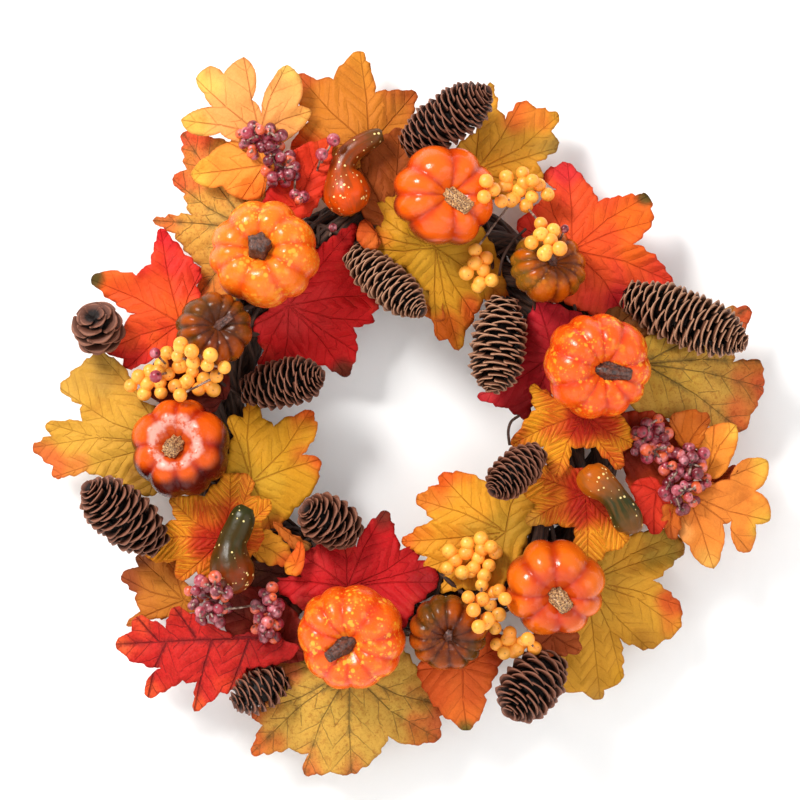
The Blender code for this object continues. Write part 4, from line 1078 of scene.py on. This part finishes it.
def scale_shape():
    """One woody scale: x across, y from root to rim, z the outer side; unit length and width."""
    v = np.array((0.0, 0.22, 0.45, 0.65, 0.80, 0.90, 0.97, 1.0))
    u = np.linspace(-1, 1, 9)
    rows, columns = len(v), len(u)
    wide = 0.5 * np.interp(v, (0, 0.35, 0.7, 0.88, 0.97, 1.0), (0.30, 0.62, 0.94, 1.0, 0.94, 0.82))
    x = wide[:, None] * u[None]
    y = v[:, None] * (1 - 0.20 * u[None] ** 2)
    top = 0.05 * v[:, None] + 0.12 * v[:, None] ** 3 - 0.24 * u[None] ** 2 * v[:, None]
    thick = 0.02 + 0.11 * np.interp(v, (0, 0.6, 0.88, 1.0), (0.25, 0.5, 1.0, 0.35))
    bottom = top - thick[:, None] * (1 - 0.3 * u[None] ** 2)
    points = np.concatenate([np.stack([x, y, z], 2).reshape(-1, 3) for z in (top, bottom)])
    half = rows * columns
    faces = [f[::-1] for f in grid_faces(rows, columns, wrap_columns=False)]
    faces += [tuple(i + half for i in f[::-1]) for f in faces]
    border = (list(range(columns)) + [columns * (r + 1) - 1 for r in range(1, rows)]
              + [half - 1 - k for k in range(1, columns)] + [columns * r for r in range(rows - 2, 0, -1)])
    for a, b in zip(border, border[1:] + border[:1]):
        faces.append((a, b, b + half, a + half))
    # The edge value runs from a scale's root (0) to its rim (1); the cone material paints shade at the roots and
    # paler rims from it.
    edge = np.interp(v, (0.3, 0.65, 0.80, 0.90, 0.97), (0.0, 0.42, 0.55, 0.74, 1.0))[:, None]
    edge = np.maximum(edge * np.ones_like(x), np.abs(u[None]) ** 6 * np.interp(v, (0.3, 0.7), (0.0, 0.9))[:, None])
    return points, faces, np.concatenate([edge.ravel(), edge.ravel()])


def cone_material(name, dark, mid, pale):
    n = Nodes(name, roughness=0.62, specular=0.3)
    grain = n.noise(420.0, 4.0, 0.7)
    # Painted shade: the scale roots, deep between the scales, take the near-black dark colour over the wood's own
    # darker inner brown; the pale rims are partly the scales' own weathered tan and partly painted highlight.
    edge = n.add(n.attribute("edge"), n.swing(grain, 0.35))
    colour = n.mix(n.step(edge, 0.18, 0.62), dark, mid)
    colour = n.mix(n.step(edge, 0.74, 0.98, 0.0, 0.95), colour, pale)
    colour = n.mix(n.step(n.noise(1500.0, 2.0), 0.6, 0.8, 0.0, 0.25), colour, pale)
    n.colour(colour)
    n.bump(grain, 0.0006, 0.7)
    return n.material


def make_cones():
    """Each cone leans its tip forwards, so the scales round the tip are seen from outside."""
    # The dark colours are painted shade at the scale roots; the pale colours are partly the rims' own tan and
    # partly painted highlight.
    brown = cone_material("pinecone_wood", rgb(22, 10, 7), rgb(94, 53, 38), rgb(134, 86, 66))
    tan = cone_material("pinecone_wood_tan", rgb(26, 12, 8), rgb(108, 66, 46), rgb(176, 130, 102))
    shape, shape_faces, shape_edge = scale_shape()
    for number, (node, stalk, tip, width, openness, lean) in enumerate(CONES):
        chance = random.Random(100 + number)
        low, high = node_box(node)
        depth = (low[1] + high[1]) / 2
        rise = math.hypot(tip[0] - stalk[0], tip[1] - stalk[1]) * math.tan(math.radians(lean))
        start = np.array((stalk[0], depth + 0.3 * rise, stalk[1]))
        end = np.array((tip[0], depth - 0.7 * rise, tip[1]))
        length = np.linalg.norm(end - start)
        along = (end - start) / length
        across = unit(np.cross(along, (0.0, 1.0, 0.0)))
        up = np.cross(along, across)
        made = Batch()
        shares = np.linspace(0, 1, 12)
        core = start + along * length * (0.03 + 0.84 * shares)[:, None]
        points, faces, _ = tube(core, 0.30 * width * np.sin(np.pi * (0.12 + 0.8 * shares)), 12, ref=across)
        made.add(points, faces, edge=0.0)
        count = int(54 * length / width / openness**1.3)
        for k in range(count):
            f = (k + 0.5) / count
            girth = min(1.0, 0.52 + 1.7 * f) * (1 - 0.86 * max(0.0, (f - 0.60) / 0.40) ** 2.0)
            turn = k * GOLDEN + chance.uniform(-0.06, 0.06)
            out = math.cos(turn) * across + math.sin(turn) * up
            tilt = math.radians(67 - 38 / openness**2 * f**2 + 14 * (openness - 1) + chance.uniform(-5, 5))
            way = math.cos(tilt) * along + math.sin(tilt) * out
            size = 0.36 * width * (0.44 + 0.56 * girth) * openness**0.4 * chance.uniform(0.93, 1.06)
            wide = 0.46 * width * (0.36 + 0.64 * girth) * openness**0.6 * chance.uniform(0.92, 1.08)
            root = max(0.02 * width, 0.5 * width * girth - size * math.sin(tilt))
            foot = start + along * length * (0.95 * f - 0.02) + out * root
            side = unit(np.cross(way, out))
            face_up = np.cross(side, way)
            if np.dot(face_up, out) < 0:
                face_up = -face_up
            roll = chance.uniform(-0.10, 0.10)
            side, face_up = (side * math.cos(roll) + face_up * math.sin(roll),
                             face_up * math.cos(roll) - side * math.sin(roll))
            axes = np.array((wide * side, size * way, size * face_up))
            made.add(foot + shape @ axes, shape_faces, edge=shape_edge)
        made.piece(node + "_scales", tan if number in (1, 2, 3) else brown, "pinecone", [node])


# ---------- berries ----------

# Each spray: node, berry radius, colour, and clusters as (middle, half width, half height, berries).
SPRAYS = (
    ("yellow_berries_top", 4.2, "yellow",
     (((66, 135), 22, 12, 14), ((46, 87), 10, 13, 7), ((85, 104), 11, 11, 7))),
    ("yellow_berries_left", 4.2, "yellow", (((-130, 26), 25, 17, 22), ((-156, 19), 8, 9, 5))),
    ("yellow_berries_bottom", 4.2, "yellow",
     (((42, -86), 18, 13, 13), ((50, -114), 13, 16, 11), ((68, -137), 16, 7, 8))),
    ("burgundy_berries_upper_left", 3.6, "burgundy",
     (((-85, 165), 15, 11, 11), ((-73, 148), 12, 10, 8), ((-62, 131), 5, 3, 2))),
    ("burgundy_berries_lower_left", 3.6, "burgundy", (((-116, -111), 15, 16, 12), ((-81, -120), 9, 18, 13))),
    ("burgundy_berries_right", 3.6, "burgundy", (((150, -15), 12, 14, 13), ((169, -37), 16, 22, 17))),
)


def berry_materials():
    n = Nodes("berry_yellow_skin", roughness=0.42, coat=0.1)
    pick, ball = n.attribute("pick"), n.attribute("ball")
    colour = n.mix(n.step(pick, 0.0, 1.0, 0.0, 0.8), rgb(252, 178, 66), rgb(248, 150, 44))
    colour = n.mix(n.step(n.noise(160.0, 3.0), 0.45, 0.75, 0.0, 0.35), colour, rgb(236, 122, 34))
    colour = n.mix(n.step(ball, 0.975, 0.998, 0.0, 0.6), colour, rgb(150, 80, 26))
    n.colour(colour)
    n.bump(n.noise(500.0, 3.0), 0.0005, 0.35)
    yellow = n.material
    n = Nodes("berry_burgundy_skin", roughness=0.36, coat=0.25)
    pick, ball = n.attribute("pick"), n.attribute("ball")
    colour = n.mix(n.step(pick, 0.30, 0.60), rgb(104, 16, 30), rgb(156, 44, 62))
    colour = n.mix(n.step(pick, 0.70, 0.76), colour, rgb(206, 84, 40))
    colour = n.mix(n.step(n.noise(200.0, 3.0), 0.46, 0.68, 0.0, 0.65), colour, rgb(212, 132, 142))
    colour = n.mix(n.step(ball, 0.93, 0.985, 0.0, 0.8), colour, rgb(50, 14, 12))
    n.colour(colour)
    n.bump(n.noise(500.0, 3.0), 0.0005, 0.35)
    return yellow, n.material


def berry_shape(rows=11, columns=16):
    polar = np.linspace(0.06, np.pi - 0.06, rows)
    theta = 2 * np.pi * np.arange(columns) / columns
    flat = 1 - 0.06 * np.exp(-((polar / 0.35) ** 2))
    points = np.stack([np.outer(np.sin(polar), np.cos(theta)), np.outer(np.sin(polar), np.sin(theta)),
                       np.outer(np.cos(polar) * flat, np.ones(columns))], 2).reshape(-1, 3)
    faces = [f[::-1] for f in grid_faces(rows, columns)]
    faces.append(tuple(range(columns)))
    faces.append(tuple(range((rows - 1) * columns, rows * columns))[::-1])
    return points, faces, np.repeat(np.cos(polar), columns)


def berry_axes(chance):
    """A berry's across, up and forward directions, as rows."""
    lean = unit(np.array((chance.uniform(-0.7, 0.7), -1.0, chance.uniform(-0.7, 0.7))))
    side = unit(np.cross(lean, (0.3, 0.2, 0.9)))
    return np.array((side, np.cross(lean, side), lean))


def nearest_links(places):
    """The links that join all the places, each to its nearest joined neighbour."""
    joined, links, loose = [0], [], set(range(1, len(places)))
    while loose:
        _, a, b = min((float(np.linalg.norm(places[a] - places[b])), a, b)
                      for a in joined for b in sorted(loose))
        links.append((a, b))
        joined.append(b)
        loose.remove(b)
    return links


def spray_places(node, clusters, radius, start_turn=0.0):
    """An even spread of berries, with each depth read from the CAD spray."""
    solid = frame_node(node)
    tree = BVHTree.FromPolygons([v.co.copy() for v in solid.data.vertices],
                                [tuple(p.vertices) for p in solid.data.polygons])
    places = []
    for (x, z), half_width, half_height, count in clusters:
        for k in range(count):
            reach = math.sqrt((k + 0.4) / count)
            turn = k * GOLDEN + start_turn
            at = (x + half_width * reach * math.cos(turn), z + half_height * reach * math.sin(turn))
            start = Vector((at[0] * MM, -1.0, at[1] * MM + RING_Z))
            hit = tree.ray_cast(start, Vector((0, 1, 0)))[0]
            if hit:
                depth = hit.y / MM + 0.88 * radius
            else:
                near = tree.find_nearest(Vector((at[0] * MM, -0.06, at[1] * MM + RING_Z)))[0]
                depth = near.y / MM - 0.3 * radius
            places.append(np.array((at[0], depth, at[1])))
    return places


def make_sprays():
    n = Nodes("spray_twig", roughness=0.6, specular=0.3)
    n.colour(n.mix(n.step(n.noise(260.0, 3.0), 0.4, 0.62), rgb(84, 56, 44), rgb(168, 142, 126)))
    n.bump(n.noise(900.0, 3.0), 0.0004, 0.7)
    twig = n.material
    yellow, burgundy = berry_materials()
    shape, faces, polar = berry_shape()
    for number, (node, radius, kind, clusters) in enumerate(SPRAYS):
        chance = random.Random(200 + number)
        places = spray_places(node, clusters, radius)
        links = nearest_links(places)
        extra = [(middle, wide * 0.9, tall * 0.9, int(count * (1.4 if kind == "burgundy" else 0.3)))
                 for middle, wide, tall, count in clusters]
        own = len(places)
        places += spray_places(node, extra, radius, 2.2)
        for k in range(own, len(places)):
            links.append((k, min(range(own), key=lambda i: np.linalg.norm(places[i] - places[k]))))
        berries, twigs = Batch(), Batch()
        for k, place in enumerate(places):
            axes = berry_axes(chance)
            size = radius * (chance.uniform(0.96, 1.10) if kind == "yellow" else chance.uniform(0.72, 1.12))
            berries.add(place + size * shape @ axes, faces, pick=chance.random(), ball=polar)
        for a, b in links:
            start, end = places[a], places[b]
            bow = 1.0 + 0.05 * np.linalg.norm(end - start)
            if kind == "burgundy" and chance.random() < 0.45:
                bow = -1.5 * radius
            middle = (start + end) / 2 + np.array((0.0, bow, 0.0))
            line = smooth_line([start, middle, end], 5)
            points, tube_faces, grain = tube(line, 0.62 + 0.1 * chance.random(), 7, ref=(0.12, 1, 0.2))
            twigs.add(points, tube_faces, grain=grain)
        berries.piece(node + "_beads", yellow if kind == "yellow" else burgundy, "berry_" + kind, [node])
        twigs.piece(node + "_twigs", twig, "berry_" + kind)
    chance = random.Random(230)
    berries, twigs = Batch(), Batch()
    for x, y, z, root_x, root_z, size in (
            (-41.5, -64, 164.5, -50, 150, 4.1), (-48.5, -62, 156, -52, 146, 3.9), (-148, -66, 37, -140, 28, 3.4),
            (-147.5, -68, 23, -140, 26, 3.9), (96.5, -72, 111, 92, 100, 2.6), (-42, -54, 112.5, -44, 108, 2.6)):
        place = np.array((x, y, z))
        axes = berry_axes(chance)
        berries.add(place + size * shape @ axes, faces, pick=chance.uniform(0.2, 0.7), ball=polar)
        line = smooth_line([place, ((x + root_x) / 2, y + 7, (z + root_z) / 2), (root_x, -42, root_z)], 6)
        points, tube_faces, grain = tube(line, 0.7, 7, ref=(0.12, 0.3, 1))
        twigs.add(points, tube_faces, grain=grain)
    berries.piece("minor_berries_beads", burgundy, "berry_burgundy")
    twigs.piece("minor_berries_twigs", twig, "berry_burgundy")


# ---------- hanger ----------

TIE_WIRE = 0.42

def make_hanger():
    n = Nodes("hanger_wire", roughness=0.42, metallic=0.9)
    n.colour(n.mix(n.step(n.noise(900.0, 3.0), 0.4, 0.7), rgb(46, 46, 48), rgb(84, 82, 80)))
    n.bump(n.noise(1800.0, 2.0), 0.0002, 0.5)
    low, high = node_box("hanger_loop")
    wire = (high[1] - low[1]) / 2
    bar, top = low[2] + wire, high[2] - wire
    half = (high[0] - low[0]) / 2 - wire
    radius = 7.5
    outline = [(-half, bar + 1.6), (-half + 0.5, bar + 0.5), (-half + 1.6, bar)]
    outline += [(x, bar) for x in np.linspace(-half + 3.2, half - 3.2, 5)]
    outline += [(half - 1.6, bar), (half - 0.5, bar + 0.5), (half, bar + 1.6)]
    outline += [(radius + (half - radius) * (1 - t), bar + 1.6 + (top - radius - bar - 1.6) * t)
                for t in np.linspace(0.2, 0.9, 5)]
    outline += [(radius * math.cos(a), top - radius + radius * math.sin(a))
                for a in np.linspace(0, np.pi, 17)]
    outline += [(-radius - (half - radius) * (1 - t), bar + 1.6 + (top - radius - bar - 1.6) * t)
                for t in np.linspace(0.9, 0.2, 5)]
    path = np.array([(x, (low[1] + high[1]) / 2, z) for x, z in outline])
    points, faces, _ = tube(path, wire, 16, closed=True, ref=(0, 1, 0))
    piece("hanger_loop_wire", points, faces, n.material, "wire", ["hanger_loop"], body="hanger")
    count = 120
    turn = 2 * np.pi * np.arange(count) / count
    reach = 22.1 + 2.7 * np.maximum(np.cos(turn), 0) ** 4
    made = Batch()
    for k in (0, 1):
        twist = 26 * turn + np.pi * k
        outward = np.stack([np.zeros(count), np.cos(turn), np.sin(turn)], 1)
        path = outward * (reach + TIE_WIRE * np.sin(twist))[:, None] + (0, RING_Y, RING_RADIUS)
        path[:, 0] += TIE_WIRE * np.cos(twist)
        points, faces, _ = tube(path, TIE_WIRE, 8, closed=True, ref=outward)
        made.add(points, faces)
    made.piece("hanger_tie_wire", n.material, "wire", ["hanger_tie"])


# ---------- stage, light and camera ----------

WALL_GAP = 0.0015
FLOOR_DROP = 0.35
SENSOR = 36.0
DISTANCE = 2.6
FRAMING = 1.078

def flat_sheet(name, corners, material):
    mesh = bpy.data.meshes.new(name)
    mesh.from_pydata(corners, [], [(0, 1, 2, 3)])
    mesh.materials.append(material)
    return put_in_scene(name, mesh)


def area_light(name, middle, place, size, power, tint=(1, 1, 1)):
    lamp = bpy.data.lights.new(name, "AREA")
    lamp.shape = "DISK"
    lamp.size = size
    lamp.energy = power
    lamp.color = tint
    made = put_in_scene(name, lamp)
    made.location = middle + Vector(place)
    made.rotation_euler = (-Vector(place)).to_track_quat("-Z", "Y").to_euler()


def make_stage():
    low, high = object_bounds()
    wide = high.x - low.x
    middle = Vector(((low.x + high.x) / 2, high.y, (low.z + high.z) / 2))
    n = Nodes("wall_paint", roughness=0.9, specular=0.1)
    n.colour((0.98, 0.98, 0.98, 1.0))
    tree = n.tree
    clear = tree.nodes.new("ShaderNodeBsdfTransparent")
    choice = tree.nodes.new("ShaderNodeMixShader")
    facing = tree.nodes.new("ShaderNodeNewGeometry")
    tree.links.new(facing.outputs["Backfacing"], choice.inputs[0])
    tree.links.new(n.shader.outputs[0], choice.inputs[1])
    tree.links.new(clear.outputs[0], choice.inputs[2])
    tree.links.new(choice.outputs[0], tree.nodes["Material Output"].inputs["Surface"])
    back, floor = high.y + WALL_GAP, low.z - FLOOR_DROP
    wall = flat_sheet("wall", [(-3, back, floor), (3, back, floor), (3, back, 3), (-3, back, 3)], n.material)
    pale = Nodes("floor_paint", roughness=0.8, specular=0.2)
    pale.colour((0.86, 0.86, 0.85, 1.0))
    ground = flat_sheet("floor", [(-3, -4, floor), (3, -4, floor), (3, 4, floor), (-3, 4, floor)],
                        pale.material)
    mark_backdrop(wall, ground)
    camera = bpy.data.cameras.new("camera")
    camera.sensor_width = SENSOR
    camera.lens = SENSOR * DISTANCE / (wide * FRAMING)
    camera.clip_start, camera.clip_end = 0.1, 20.0
    view = put_in_scene("camera", camera)
    view.location = (middle.x - 0.0005, low.y + 0.055 - DISTANCE, middle.z + 0.0078)
    view.rotation_euler = (math.pi / 2, 0, 0)
    bpy.context.scene.camera = view
    area_light("key_light", middle, (-1.1, -1.5, 1.2), 0.70, 50.0, (1.0, 0.985, 0.96))
    area_light("fill_light", middle, (1.6, -1.8, 0.1), 1.6, 12.0, (0.97, 0.98, 1.0))
    area_light("back_light", middle, (0.6, 1.8, 0.9), 1.4, 22.0)
    sky = bpy.data.worlds.new("studio")
    sky.use_nodes = True
    sky.node_tree.nodes["Background"].inputs[0].default_value = (1, 1, 1, 1)
    sky.node_tree.nodes["Background"].inputs[1].default_value = 0.62
    bpy.context.scene.world = sky
    bpy.context.scene.view_settings.view_transform = "Standard"


def main():
    make_stage()
    vine = bark()
    make_ring(vine)
    make_leaves()
    make_pumpkins()
    make_gourds()
    make_cones()
    make_sprays()
    make_hanger()


main()
